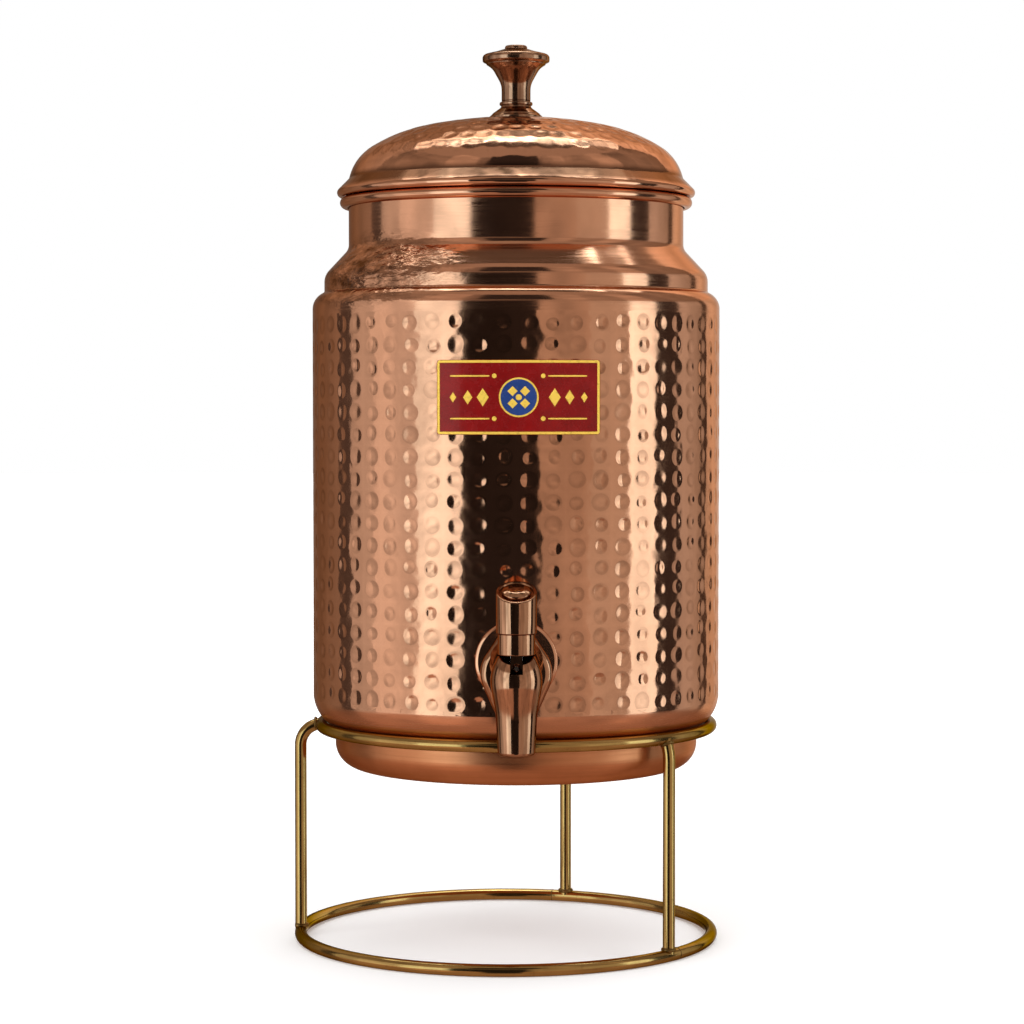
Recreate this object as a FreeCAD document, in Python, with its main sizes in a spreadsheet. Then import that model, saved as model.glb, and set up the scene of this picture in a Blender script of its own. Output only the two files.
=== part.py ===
import FreeCAD, Part
import math
import os
import re
import Sketcher
from FreeCAD import Placement, Rotation, Vector

# Copper water dispenser: spun jar with a domed lid and a lever tap, on a three-legged wire stand.
# Millimetres and degrees, +Z up, the jar's axis is the Z axis, the floor is Z = 0, the tap points to -Y.

os.makedirs("parts", exist_ok=True)
doc = FreeCAD.newDocument("WaterDispenser")
sheet = doc.addObject("Spreadsheet::Sheet", "Sizes")

SIZES = {
    # stand
    "wire": 6.0,
    "leg_wire": 5.8,
    "top_ring_inset": 3.8,
    "top_ring_height": 105.5,
    "base_ring_spread": 5.3,
    "base_ring_x": -5.0,
    "base_ring_y": -1.5,
    "foot_flat": 0.3,
    "left_leg_angle": 181.0,
    "right_leg_angle": -40.5,
    "back_leg_angle": 72.0,
    "left_leg_tilt": 90.0,
    "right_leg_tilt": 27.0,
    "back_leg_tilt": 27.0,
    # jar wall
    "wall": 1.1,
    "body_radius": 100.0,
    "foot_radius": 18.5,
    "foot_centre_height": 36.5,
    "foot_slope": 24.5,
    "seat_gap": 0.2,
    "pan_inset": 10.8,
    "pan_corner": 12.0,
    "lap_gap": 0.05,
    "lap_length": 6.5,
    "crease_round": 1.2,
    "shoulder_height": 230.1,
    "shoulder_round": 8.5,
    "step_inset": 5.8,
    "step_slope": 27.0,
    "step_height": 8.25,
    "step_round": 8.0,
    "neck_inset": 17.8,
    "neck_slope": 47.0,
    "neck_round": 6.0,
    "neck_rise": 22.727,
    "bead_radius": 2.7,
    "bead_sweep": 290.0,
    "rim_wire_radius": 1.55,
    # label plate
    "badge_width": 74.7,
    "badge_high": 34.4,
    "badge_thick": 0.6,
    "badge_corner": 1.2,
    "badge_x": 1.1,
    "badge_rise": 181.638,
    # lid
    "lid_wall": 1.0,
    "lid_gap": 0.4,
    "lid_overhang": 1.9,
    "lid_roll_radius": 2.2,
    "lid_roll_sweep": 235.0,
    "flare_reach": 5.25,
    "flare_round": 3.0,
    "side_lean_share": 0.031705,
    "side_rise_share": 0.12804,
    "haunch_round_share": 1.113744,
    "haunch_share": 0.265724,
    "haunch_slope": 30.5426,
    "crown_share": 0.38937,
    "crown_slope": 11.279,
    "crown_flat_share": 0.97877,
    "shoulder_bend_share": 2.191,
    "collar_gap": 0.8,
    "collar_drop": 11.0,
    "collar_rise": 15.6,
    "collar_wall": 1.0,
    "collar_round": 3.0,
    # knob, from its base up
    "knob_base_radius": 13.0,
    "knob_base_rise": 1.0,
    "knob_recess_radius": 10.0,
    "knob_recess_deep": 1.0,
    "knob_waist_radius": 7.3,
    "knob_waist_drop": 0.9,
    "knob_waist_round": 1.8,
    "knob_ring_radius": 8.1,
    "knob_ring_low": 6.4,
    "knob_ring_high": 8.0,
    "knob_stem_radius": 7.1,
    "knob_stem_top": 16.5,
    "knob_flare_radius": 11.6,
    "knob_flare_height": 24.5,
    "knob_cap_radius": 16.5,
    "knob_cap_low": 27.6,
    "knob_cap_high": 31.0,
    "knob_nub_radius": 5.4,
    "knob_nub_low": 34.1,
    "knob_nub_high": 35.6,
    "knob_top": 36.3,
    "knob_hole_deep": 14.5,
    "screw_radius": 2.45,
    "screw_gap": 0.05,
    "screw_head_radius": 4.5,
    "screw_head_high": 2.5,
    "screw_reach": 12.0,
    "lid_hole_radius": 2.75,
    "knob_washer_radius": 7.0,
    "knob_washer_thick": 0.8,
    # tap, from the crossing of its upright axis and the shank's axis
    "tap_stand_off": 32.0,
    "tap_rise": 60.4376,
    "bulb_top": 5.4,
    "bulb_top_radius": 8.4,
    "bulb_radius": 12.6,
    "bulb_drop": 3.5,
    "bulb_round": 19.0,
    "spout_neck_radius": 9.4,
    "spout_neck_drop": 20.5,
    "spout_radius": 8.4,
    "spout_drop": 39.4,
    "spout_bore": 5.5,
    "chamber_radius": 8.4,
    "chamber_top": 2.4,
    "chamber_drop": 10.0,
    "funnel_drop": 15.0,
    "barrel_radius": 10.5,
    "hub_half_width": 18.6,
    "hub_widest_drop": 3.3,
    "hub_top": 13.5,
    "hub_top_half": 7.5,
    "hub_bottom_drop": 26.0,
    "hub_bottom_half": 8.4,
    "hub_round": 15.0,
    "hub_deep": 9.0,
    "hub_edge": 3.5,
    "flange_radius": 19.0,
    "flange_thick": 2.0,
    "flange_edge": 1.2,
    "washer_thick": 1.2,
    "washer_radius": 18.0,
    "inner_washer_radius": 13.0,
    "inner_washer_thick": 1.4,
    "washer_hole_gap": 0.1,
    "shank_radius": 8.0,
    "shank_hole_gap": 0.3,
    "shank_end": 54.0,
    "seat_reach": 13.0,
    "seat_lip_high": 0.6,
    "seat_lip_thick": 1.0,
    "seat_bore": 3.2,
    "step_reach": 28.0,
    "rear_bore": 5.0,
    "nut_width": 24.0,
    "nut_thick": 6.0,
    "cup_radius": 5.0,
    "cup_thick": 3.0,
    "cup_gap": 0.05,
    "cup_bore": 5.6,
    "stem_radius": 1.0,
    "stem_front": 5.2,
    "stem_end": 46.0,
    "stem_flange_radius": 2.5,
    "stem_flange_thick": 1.0,
    "ball_radius": 1.8,
    "ball_gap": 0.1,
    "clip_radius": 4.0,
    "clip_reach": 40.5,
    "clip_thick": 1.5,
    "spring_radius": 3.9,
    "spring_wire": 0.6,
    "spring_gap": 0.3,
    "spring_turns": 5.0,
    # lever
    "pivot_drop": 4.5,
    "pin_radius": 1.0,
    "pin_gap": 0.05,
    "pin_half": 10.9,
    "lever_swing": 25.0,
    "lever_gap": 0.3,
    "tang_width": 5.2,
    "tang_side_gap": 0.15,
    "tang_half_thick": 2.0,
    "tang_end_drop": 6.9,
    "tang_slot_half": 1.2,
    "tang_slot_low": 1.9,
    "tang_slot_high": 3.5,
    "notch_low": 2.2,
    "handle_low": 5.8,
    "handle_collar_radius": 8.45,
    "handle_line": 15.3,
    "handle_line_half": 0.25,
    "handle_line_deep": 0.4,
    "handle_radius": 9.15,
    "handle_gap": 0.4,
    "handle_front_top": 29.7,
    "handle_back_top": 38.6,
    "button_radius": 6.6,
    "button_gap": 0.8,
    "button_sunk": 1.0,
    "button_edge_high": 1.5,
    "button_dome_radius": 4.2,
    "button_dome_high": 2.7,
    "button_top": 3.1,
}

DERIVED = {
    "top_ring_radius": "body_radius - top_ring_inset",
    "base_ring_radius": "top_ring_radius + base_ring_spread",
    "pan_radius": "body_radius - pan_inset",
    "step_radius": "body_radius - step_inset",
    "neck_radius": "body_radius - neck_inset",
    "base_wire_height": "wire / 2 - foot_flat",
    "spigot_radius": "pan_radius - wall - lap_gap",
    "jar_lift": "top_ring_height - foot_centre_height + sqrt((foot_radius + wire / 2 + seat_gap)^2"
                " - (top_ring_radius - body_radius + foot_radius)^2)",
    "foot_corner": "foot_centre_height - foot_radius * tan((90 - foot_slope) / 2)",
    "spigot_corner": "foot_corner - (body_radius - spigot_radius) * tan(foot_slope)",
    "step_corner": "shoulder_height + (body_radius - step_radius) * tan(step_slope)",
    "step_top": "step_corner + step_height",
    "neck_corner": "step_top + (step_radius - neck_radius) * tan(neck_slope)",
    "badge_z": "jar_lift + badge_rise",
    "bead_height": "neck_corner + neck_rise",
    "bead_centre": "neck_radius - wall + bead_radius",
    "bead_path": "bead_radius - wall",
    "roll_centre": "bead_centre + lid_overhang",
    "lid_lift": "jar_lift + bead_height - lid_roll_radius"
                " + sqrt((bead_radius + lid_roll_radius + lid_gap)^2 - lid_overhang^2)",
    "flare_radius": "roll_centre + lid_roll_radius * sin(45)",
    "flare_height": "lid_roll_radius + lid_roll_radius * sin(45)",
    "side_radius": "flare_radius - flare_reach",
    "side_height": "flare_height + flare_reach",
    "haunch_radius": "side_radius * (1 - side_lean_share)",
    "haunch_height": "side_height + side_radius * side_rise_share",
    "haunch_run": "haunch_radius * haunch_share",
    "haunch_round": "haunch_run * haunch_round_share",
    "crown_radius": "haunch_radius - haunch_run",
    "crown_height": "haunch_height + haunch_run * tan(haunch_slope)",
    "apex_radius": "crown_radius * crown_share",
    "apex_height": "crown_height + (crown_radius - apex_radius) * tan(crown_slope)",
    "crown_bend": "apex_radius * crown_flat_share / tan(crown_slope / 2)",
    "shoulder_bend": "(crown_radius - apex_radius) * shoulder_bend_share",
    "collar_radius": "neck_radius - wall - collar_gap",
    "side_angle": "atan(side_rise_share / side_lean_share)",
    "haunch_trim": "haunch_round * tan((side_angle - haunch_slope * 1 deg) / 2)",
    "haunch_centre_radius": "haunch_radius + haunch_trim * cos(side_angle) - haunch_round * sin(side_angle)",
    "haunch_centre_height": "haunch_height - haunch_trim * sin(side_angle) - haunch_round * cos(side_angle)",
    "inner_haunch": "haunch_round - lid_wall",
    "collar_corner": "haunch_centre_height + sqrt(inner_haunch^2 - (collar_radius - haunch_centre_radius)^2)",
    "collar_top_radius": "haunch_centre_radius"
                         " + sqrt(inner_haunch^2 - (collar_rise - haunch_centre_height)^2)",
    "knob_foot": "lid_lift + apex_height - crown_bend + sqrt(crown_bend^2 - knob_recess_radius^2)",
    "inner_crown": "crown_bend - lid_wall",
    "washer_top": "apex_height - crown_bend + sqrt(inner_crown^2 - knob_washer_radius^2)",
    "tap_reach": "body_radius + tap_stand_off",
    "tap_height": "jar_lift + tap_rise",
    "hub_back": "tap_reach - body_radius - washer_thick - flange_thick",
    "washer_front": "tap_reach - body_radius - washer_thick",
    "inner_washer_back": "tap_reach - body_radius + wall + inner_washer_thick + 1",
    "seat_front": "seat_reach - seat_lip_high",
    "cup_back": "seat_front - cup_gap",
    "cup_front": "cup_back - cup_thick",
    "ball_sink": "sqrt(ball_radius^2 - tang_slot_half^2)",
    "ball_reach": "tang_half_thick + ball_sink + ball_gap",
    "spring_start": "step_reach + spring_wire / 2",
    "spring_length": "clip_reach - spring_gap - spring_wire - step_reach",
    "handle_slope": "(handle_back_top - handle_front_top) / (2 * handle_radius)",
    "handle_tilt": "atan(handle_slope)",
    "handle_middle": "(handle_back_top + handle_front_top) / 2",
    "swing_limit": "handle_low + pivot_drop - lever_gap",
}

for number, (name, value) in enumerate(SIZES.items(), start=1):
    sheet.set(f"A{number}", name)
    sheet.set(f"B{number}", str(value))
    sheet.setAlias(f"B{number}", name)
doc.recompute()


def spelled(text):
    """Writes derived sizes out in full, down to the sheet's own values."""
    text = str(text)
    while True:
        longer = re.sub(r"[a-z][a-z_]*", lambda m: f"({DERIVED[m[0]]})" if m[0] in DERIVED else m[0], text)
        if longer == text:
            return text
        text = longer


def value_of(text):
    found = sheet.evalExpression(spelled(text))
    return float(getattr(found, "Value", found))


def bind(thing, prop, text):
    thing.setExpression(prop, re.sub(r"[a-z][a-z_]*", lambda m: f"Sizes.{m[0]}" if m[0] in SIZES else m[0],
                                     spelled(text)))


def place(thing, x="0", y="0", z="0", axis=(0, 0, 1), turn="0"):
    thing.Placement = Placement(Vector(), Rotation(Vector(*axis), max(value_of(turn), 1e-3)))
    for prop, text in (("Base.x", x), ("Base.y", y), ("Base.z", z), ("Rotation.Angle", turn)):
        bind(thing, "Placement." + prop, text)
    return thing


def named(thing, node):
    thing.Label = node
    return thing


def apply(sketch, rules):
    """Adds all the constraints at once, then binds those that have a size."""
    made = [Sketcher.Constraint(kind, *where, value_of(text)) if text else Sketcher.Constraint(kind, *where)
            for kind, where, text in rules]
    first = sketch.ConstraintCount
    sketch.addConstraint(made)
    for index, (kind, where, text) in enumerate(rules, start=first):
        if text:
            bind(sketch, f"Constraints[{index}]", text + (" * 1 deg" if kind == "Angle" else ""))


def spot(geometry, end, x, y):
    return [("DistanceX", (-1, 1, geometry, end), x), ("DistanceY", (-1, 1, geometry, end), y)]


def draw(sketch, corners, closed=True, curl=None):
    """Straight runs between corners (x, y) or rounded corners (x, y, radius), each bound to the sizes."""
    texts = [tuple(corner) + (() if len(corner) > 2 else ("0",)) for corner in corners]
    spots = [Vector(value_of(x), value_of(y), 0) for x, y, r in texts]
    rounds = [value_of(r) for x, y, r in texts]
    count = len(spots)
    backs = [(spots[i - 1] - spots[i]).normalize() for i in range(count)]
    aheads = [(spots[(i + 1) % count] - spots[i]).normalize() for i in range(count)]
    trims = [r * math.tan((math.pi - a.getAngle(b)) / 2) for r, a, b in zip(rounds, backs, aheads)]
    if not closed:
        trims[0] = trims[-1] = 0
    runs = []
    for i in range(count if closed else count - 1):
        j = (i + 1) % count
        start = spots[i] + aheads[i] * trims[i]
        runs.append(sketch.addGeometry(Part.LineSegment(start, spots[j] + backs[j] * trims[j])))
    rules = []
    for i in range(count):
        x, y, size = texts[i]
        if not closed and i in (0, count - 1):
            rules += spot(runs[0] if i == 0 else runs[-1], 1 if i == 0 else 2, x, y)
            continue
        before, after = runs[i - 1], runs[i]
        if rounds[i] == 0:
            rules.append(("Coincident", (before, 2, after, 1), None))
            rules += spot(after, 1, x, y)
            continue
        inward = (backs[i] + aheads[i]).normalize()
        centre = spots[i] + inward * (rounds[i] / math.sin(backs[i].getAngle(aheads[i]) / 2))
        begin, finish = backs[i] * trims[i] - (centre - spots[i]), aheads[i] * trims[i] - (centre - spots[i])
        first = 1 if begin.cross(finish).z > 0 else 2
        if first == 2:
            begin, finish = finish, begin
        begin, finish = math.atan2(begin.y, begin.x), math.atan2(finish.y, finish.x)
        circle = Part.Circle(centre, Vector(0, 0, 1), rounds[i])
        arc = sketch.addGeometry(Part.ArcOfCircle(circle, begin, finish + (math.tau if finish < begin else 0)))
        corner = sketch.addGeometry(Part.Point(spots[i]), True)
        rules += [("Tangent", (before, 2, arc, first), None), ("Tangent", (after, 1, arc, 3 - first), None),
                  ("Radius", (arc,), size), *spot(corner, 1, x, y),
                  ("PointOnObject", (corner, 1, before), None), ("PointOnObject", (corner, 1, after), None)]
    if curl:
        radius, sweep = value_of(curl[0]), math.radians(value_of(curl[1]))
        centre = spots[-1] + Vector(aheads[-2].y, -aheads[-2].x, 0) * radius
        begin = math.atan2(spots[-1].y - centre.y, spots[-1].x - centre.x)
        circle = Part.Circle(centre, Vector(0, 0, 1), radius)
        arc = sketch.addGeometry(Part.ArcOfCircle(circle, begin - sweep, begin))
        rules += [("Tangent", (runs[-1], 2, arc, 2), None), ("Radius", (arc,), curl[0]),
                  ("Angle", (arc,), curl[1])]
    apply(sketch, rules)
    return sketch


def ring_mark(sketch, radius, x="0", y="0"):
    circle = Part.Circle(Vector(value_of(x), value_of(y), 0), Vector(0, 0, 1), value_of(radius))
    index = sketch.addGeometry(circle)
    apply(sketch, spot(index, 3, x, y) + [("Radius", (index,), radius)])
    return sketch


def new_body(node):
    return named(doc.addObject("PartDesign::Body", node), node)


def sketch_on(body, plane, offset="0"):
    sketch = body.newObject("Sketcher::SketchObject", "Outline")
    origin_plane = [f for f in body.Origin.OriginFeatures if f.Role == plane][0]
    sketch.AttachmentSupport = [(origin_plane, "")]
    sketch.MapMode = "FlatFace"
    bind(sketch, "AttachmentOffset.Base.z", offset)
    return sketch


def feature(body, kind, sketch, length=None, both=False, turned=False, flip=False):
    """Adds one feature. A cut that takes nothing away is turned round."""
    doc.recompute()
    before = body.Tip.Shape.Volume if body.Tip else 0
    made = body.newObject("PartDesign::" + kind, kind)
    made.Profile = sketch
    if turned:
        made.ReferenceAxis = (sketch, ["V_Axis"])
        made.Angle = 360
    else:
        made.Midplane = both
        made.Reversed = flip
        bind(made, "Length", length)
    doc.recompute()
    if kind in ("Pocket", "Groove") and made.Shape.Volume > before - 1e-6:
        made.Reversed = not made.Reversed
        doc.recompute()
    return made


def turned_body(node, corners):
    """A solid of revolution about its own Z axis, from corners (radius, height)."""
    body = new_body(node)
    feature(body, "Revolution", draw(sketch_on(body, "XZ_Plane"), corners), turned=True)
    return body


def along_tap(body):
    """Lays a turned piece on the shank's axis, with its own Z axis towards the jar."""
    return place(body, y="-tap_reach", z="tap_height", axis=(-1, 0, 0), turn="90")


def spun_sheet(node, corners, thickness, curl=None):
    """A spun sheet from one face's path (radius, height), with its thickness to the other side."""
    path = doc.addObject("Sketcher::SketchObject", node + "_path")
    path.Placement = Placement(Vector(), Rotation(Vector(1, 0, 0), 90))
    draw(path, corners, closed=False, curl=curl)
    band = doc.addObject("Part::Offset2D", node + "_band")
    band.Source = path
    band.Mode = "Skin"
    band.Fill = True
    bind(band, "Value", thickness)
    spun = doc.addObject("Part::Revolution", node + "_spun")
    spun.Source = band
    spun.Axis = (0, 0, 1)
    spun.Angle = 360
    spun.Solid = True
    return spun


def cylinder(radius, height, z="0", y="0", x="0", axis=(0, 0, 1), turn="0"):
    made = doc.addObject("Part::Cylinder", "Round")
    bind(made, "Radius", radius)
    bind(made, "Height", height)
    return place(made, x, y, z, axis, turn)


def combine(kind, node, base, tool):
    made = named(doc.addObject("Part::" + kind, node), node)
    made.Base = base
    made.Tool = tool
    return made


# Stand
top_ring = named(doc.addObject("Part::Torus", "stand_top_ring"), "stand_top_ring")
bind(top_ring, "Radius1", "top_ring_radius")
bind(top_ring, "Radius2", "wire / 2")
place(top_ring, z="top_ring_height")

base_hoop = doc.addObject("Part::Torus", "BaseHoop")
bind(base_hoop, "Radius1", "base_ring_radius")
bind(base_hoop, "Radius2", "wire / 2")
place(base_hoop, "base_ring_x", "base_ring_y", "base_wire_height")
below_floor = cylinder("base_ring_radius * 2", "wire", z="-wire")
base_ring = combine("Cut", "stand_base_ring", base_hoop, below_floor)

legs = []
for side in ("left", "right", "back"):
    foot_x = f"(base_ring_x + base_ring_radius * cos({side}_leg_angle))"
    foot_y = f"(base_ring_y + base_ring_radius * sin({side}_leg_angle))"
    reach = f"(sqrt({foot_x}^2 + {foot_y}^2) - top_ring_radius)"
    bend = f"({reach} / (1 - cos({side}_leg_tilt)))"
    straight = f"(top_ring_height - base_wire_height - {bend} * sin({side}_leg_tilt))"
    rod = doc.addObject("PartDesign::Body", f"{side}_rod")
    spine = sketch_on(rod, "XZ_Plane")
    post = spine.addGeometry(Part.LineSegment(Vector(0, 0, 0), Vector(0, value_of(straight), 0)))
    size, lean = value_of(bend), math.radians(value_of(f"{side}_leg_tilt"))
    centre = Vector(-size, value_of(straight), 0)
    bow = spine.addGeometry(Part.ArcOfCircle(Part.Circle(centre, Vector(0, 0, 1), size), 0, lean))
    apply(spine, [("Coincident", (post, 1, -1, 1), None), *spot(post, 2, "0", straight),
                  ("Tangent", (post, 2, bow, 1), None), ("Radius", (bow,), bend),
                  ("Angle", (bow,), f"{side}_leg_tilt")])
    section = ring_mark(sketch_on(rod, "XY_Plane"), "leg_wire / 2")
    pipe = rod.newObject("PartDesign::AdditivePipe", "Pipe")
    pipe.Profile = section
    pipe.Spine = spine
    azimuth = f"atan2({foot_y}; {foot_x})"
    place(rod, foot_x, foot_y, "base_wire_height", turn=f"{azimuth} + 360 deg")
    trimmed = combine("Cut", f"{side}_leg_trimmed", rod, top_ring)
    legs.append(combine("Cut", f"stand_leg_{side}", trimmed, base_ring))

# Jar
jar_wall = spun_sheet("jar_body", [
    ("spigot_radius", "spigot_corner - lap_length"),
    ("spigot_radius", "spigot_corner", "crease_round"),
    ("body_radius", "foot_corner", "foot_radius"),
    ("body_radius", "shoulder_height", "shoulder_round"),
    ("step_radius", "step_corner", "crease_round"),
    ("step_radius", "step_top", "step_round"),
    ("neck_radius", "neck_corner", "neck_round"),
    ("neck_radius", "bead_height"),
], "wall", curl=("bead_path", "bead_sweep"))
tap_hole = cylinder("shank_radius + shank_hole_gap", "body_radius", y="-body_radius / 2",
                    z="tap_height - jar_lift", axis=(1, 0, 0), turn="90")
jar_body = place(combine("Cut", "jar_body", jar_wall, tap_hole), z="jar_lift")

pan = spun_sheet("jar_base_pan", [
    ("0", "0"),
    ("pan_radius", "0", "pan_corner"),
    ("pan_radius", "spigot_corner - crease_round"),
], "wall")
jar_base_pan = place(named(pan, "jar_base_pan"), z="jar_lift")

rim_wire = named(doc.addObject("Part::Torus", "jar_rim_wire"), "jar_rim_wire")
bind(rim_wire, "Radius1", "bead_centre")
bind(rim_wire, "Radius2", "rim_wire_radius")
place(rim_wire, z="jar_lift + bead_height")

plate_band = combine("Cut", "PlateBand", cylinder("body_radius + badge_thick", "badge_high * 2",
                                                  z="badge_z - badge_high"),
                     cylinder("body_radius", "badge_high * 2", z="badge_z - badge_high"))
plate_blank = new_body("PlateBlank")
half_wide, half_high = "badge_width / 2", "badge_high / 2"
plate_outline = draw(sketch_on(plate_blank, "XZ_Plane"), [
    (f"badge_x - {half_wide}", f"badge_z - {half_high}", "badge_corner"),
    (f"badge_x + {half_wide}", f"badge_z - {half_high}", "badge_corner"),
    (f"badge_x + {half_wide}", f"badge_z + {half_high}", "badge_corner"),
    (f"badge_x - {half_wide}", f"badge_z + {half_high}", "badge_corner"),
])
feature(plate_blank, "Pad", plate_outline, length="body_radius * 1.1")
badge_plate = combine("Common", "badge_plate", plate_band, plate_blank)

# Lid
lid_dome = spun_sheet("lid_shell", [
    ("0", "apex_height"),
    ("apex_radius", "apex_height", "crown_bend"),
    ("crown_radius", "crown_height", "shoulder_bend"),
    ("haunch_radius", "haunch_height", "haunch_round"),
    ("side_radius", "side_height", "flare_round"),
    ("flare_radius", "flare_height"),
], "-lid_wall", curl=("lid_roll_radius", "lid_roll_sweep"))
lid_hole = cylinder("lid_hole_radius", "lid_wall * 10", z="apex_height - lid_wall * 5")
lid_shell = place(combine("Cut", "lid_shell", lid_dome, lid_hole), z="lid_lift")

collar = spun_sheet("lid_collar", [
    ("collar_radius", "-collar_drop"),
    ("collar_radius", "collar_corner", "collar_round"),
    ("collar_top_radius", "collar_rise"),
], "collar_wall")
lid_collar = place(named(collar, "lid_collar"), z="lid_lift")

knob_hole = "screw_radius + screw_gap"
lid_knob = place(turned_body("lid_knob", [
    ("0", "knob_hole_deep"),
    (knob_hole, "knob_hole_deep"),
    (knob_hole, "knob_recess_deep"),
    ("knob_recess_radius", "knob_recess_deep"),
    ("knob_recess_radius", "0"),
    ("knob_base_radius", "0"),
    ("knob_base_radius", "knob_base_rise", "0.5"),
    ("knob_waist_radius", "knob_ring_low - knob_waist_drop", "knob_waist_round"),
    ("knob_waist_radius", "knob_ring_low"),
    ("knob_ring_radius", "knob_ring_low", "0.5"),
    ("knob_ring_radius", "knob_ring_high", "0.5"),
    ("knob_stem_radius", "knob_ring_high"),
    ("knob_stem_radius", "knob_stem_top", "10"),
    ("knob_flare_radius", "knob_flare_height", "8"),
    ("knob_cap_radius", "knob_cap_low", "0.8"),
    ("knob_cap_radius", "knob_cap_high", "2.2"),
    ("knob_nub_radius", "knob_nub_low", "0.4"),
    ("knob_nub_radius", "knob_nub_high", "1"),
    ("0", "knob_top"),
]), z="knob_foot")

knob_washer = place(turned_body("knob_washer", [
    ("lid_hole_radius", "washer_top - knob_washer_thick"),
    ("knob_washer_radius", "washer_top - knob_washer_thick"),
    ("knob_washer_radius", "washer_top"),
    ("lid_hole_radius", "washer_top"),
]), z="lid_lift")

head_top = "washer_top - knob_washer_thick"
knob_screw = place(turned_body("knob_screw", [
    ("0", f"{head_top} - screw_head_high"),
    ("screw_head_radius", f"{head_top} - screw_head_high", "0.8"),
    ("screw_head_radius", head_top),
    ("screw_radius", head_top),
    ("screw_radius", "washer_top + screw_reach"),
    ("0", "washer_top + screw_reach"),
]), z="lid_lift")

# Tap body: bulb with spout, barrel and hub, then its chamber, bores, notch and pin hole
tap_body = turned_body("tap_body", [
    ("0", "bulb_top"),
    ("bulb_top_radius", "bulb_top", "0.5"),
    ("bulb_radius", "-bulb_drop", "bulb_round"),
    ("spout_neck_radius", "-spout_neck_drop", "60"),
    ("spout_radius", "-spout_drop", "1.6"),
    ("0", "-spout_drop"),
])
feature(tap_body, "Pad", ring_mark(sketch_on(tap_body, "XZ_Plane"), "barrel_radius"),
        length="hub_back - 1", flip=True)
hub_front = value_of("hub_back - hub_deep")
hub_outline = draw(sketch_on(tap_body, "XZ_Plane", "-(hub_back)"), [
    ("-hub_top_half", "hub_top", "3"),
    ("-hub_half_width", "-hub_widest_drop", "hub_round"),
    ("-hub_bottom_half", "-hub_bottom_drop", "4"),
    ("hub_bottom_half", "-hub_bottom_drop", "4"),
    ("hub_half_width", "-hub_widest_drop", "hub_round"),
    ("hub_top_half", "hub_top", "3"),
])
hub = feature(tap_body, "Pad", hub_outline, length="hub_deep")
rim_edges = []
for index, edge in enumerate(hub.Shape.Edges, start=1):
    box, middle = edge.BoundBox, edge.CenterOfMass
    flat = abs(box.YMin - hub_front) < 1e-4 and abs(box.YMax - hub_front) < 1e-4
    if flat and math.hypot(middle.x, middle.z) > value_of("barrel_radius") + 0.5:
        rim_edges.append(f"Edge{index}")
rounded = tap_body.newObject("PartDesign::Fillet", "HubEdge")
rounded.Base = (hub, rim_edges)
bind(rounded, "Radius", "hub_edge")
doc.recompute()
feature(tap_body, "Groove", draw(sketch_on(tap_body, "XZ_Plane"), [
    ("0", "chamber_top"),
    ("chamber_radius", "chamber_top"),
    ("chamber_radius", "-chamber_drop"),
    ("spout_bore", "-funnel_drop"),
    ("spout_bore", "-spout_drop - 1"),
    ("0", "-spout_drop - 1"),
]), turned=True)
feature(tap_body, "Groove", draw(sketch_on(tap_body, "XY_Plane"), [
    ("0", "0"),
    ("cup_bore", "0"),
    ("cup_bore", "seat_reach"),
    ("shank_radius", "seat_reach"),
    ("shank_radius", "hub_back + 1"),
    ("0", "hub_back + 1"),
]), turned=True)
feature(tap_body, "Groove", draw(sketch_on(tap_body, "XZ_Plane"), [
    ("0", "bulb_top"),
    ("handle_radius + handle_gap", "bulb_top"),
    ("handle_radius + handle_gap", "barrel_radius + 1"),
    ("0", "barrel_radius + 1"),
]), turned=True)
notch_back, notch_front = "tang_half_thick + lever_gap", "-bulb_radius - 2"
feature(tap_body, "Pocket", draw(sketch_on(tap_body, "YZ_Plane"), [
    (notch_front, "-notch_low"),
    (notch_back, "-notch_low"),
    (notch_back, "bulb_top + 5"),
    (notch_front, "bulb_top + 5"),
]), length="tang_width + tang_side_gap * 2", both=True)
feature(tap_body, "Pocket", draw(sketch_on(tap_body, "YZ_Plane"), [
    ("0", "swing_limit / cos(lever_swing) - pivot_drop"),
    ("0", "bulb_top + 5"),
    (notch_front, "bulb_top + 5"),
    (notch_front, f"(swing_limit + ({notch_front}) * sin(lever_swing)) / cos(lever_swing) - pivot_drop"),
]), length="bulb_radius * 4", both=True)
feature(tap_body, "Pocket", ring_mark(sketch_on(tap_body, "YZ_Plane"), "pin_radius", "0", "-pivot_drop"),
        length="bulb_radius * 4", both=True)
place(tap_body, y="-tap_reach", z="tap_height")

# Shank through the wall, with its seals, rosette and nut
tap_shank = along_tap(turned_body("tap_shank", [
    ("seat_bore", "seat_front"),
    ("seat_bore + seat_lip_thick", "seat_front", "0.3"),
    ("seat_bore + seat_lip_thick", "seat_reach"),
    ("shank_radius", "seat_reach"),
    ("shank_radius", "shank_end"),
    ("rear_bore", "shank_end"),
    ("rear_bore", "step_reach"),
    ("seat_bore", "step_reach"),
]))
tap_flange = along_tap(turned_body("tap_flange", [
    ("shank_radius", "hub_back"),
    ("flange_radius", "hub_back", "flange_edge"),
    ("flange_radius", "washer_front"),
    ("shank_radius", "washer_front"),
]))
washer_hole = "shank_radius + washer_hole_gap"
outer_blank = along_tap(turned_body("outer_washer_blank", [
    (washer_hole, "washer_front"),
    ("washer_radius", "washer_front"),
    ("washer_radius", "washer_front + washer_thick * 4"),
    (washer_hole, "washer_front + washer_thick * 4"),
]))
around_tap = "tap_height - flange_radius * 2"
outer_washer = combine("Cut", "outer_washer", outer_blank,
                       cylinder("body_radius", "flange_radius * 4", z=around_tap))
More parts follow.
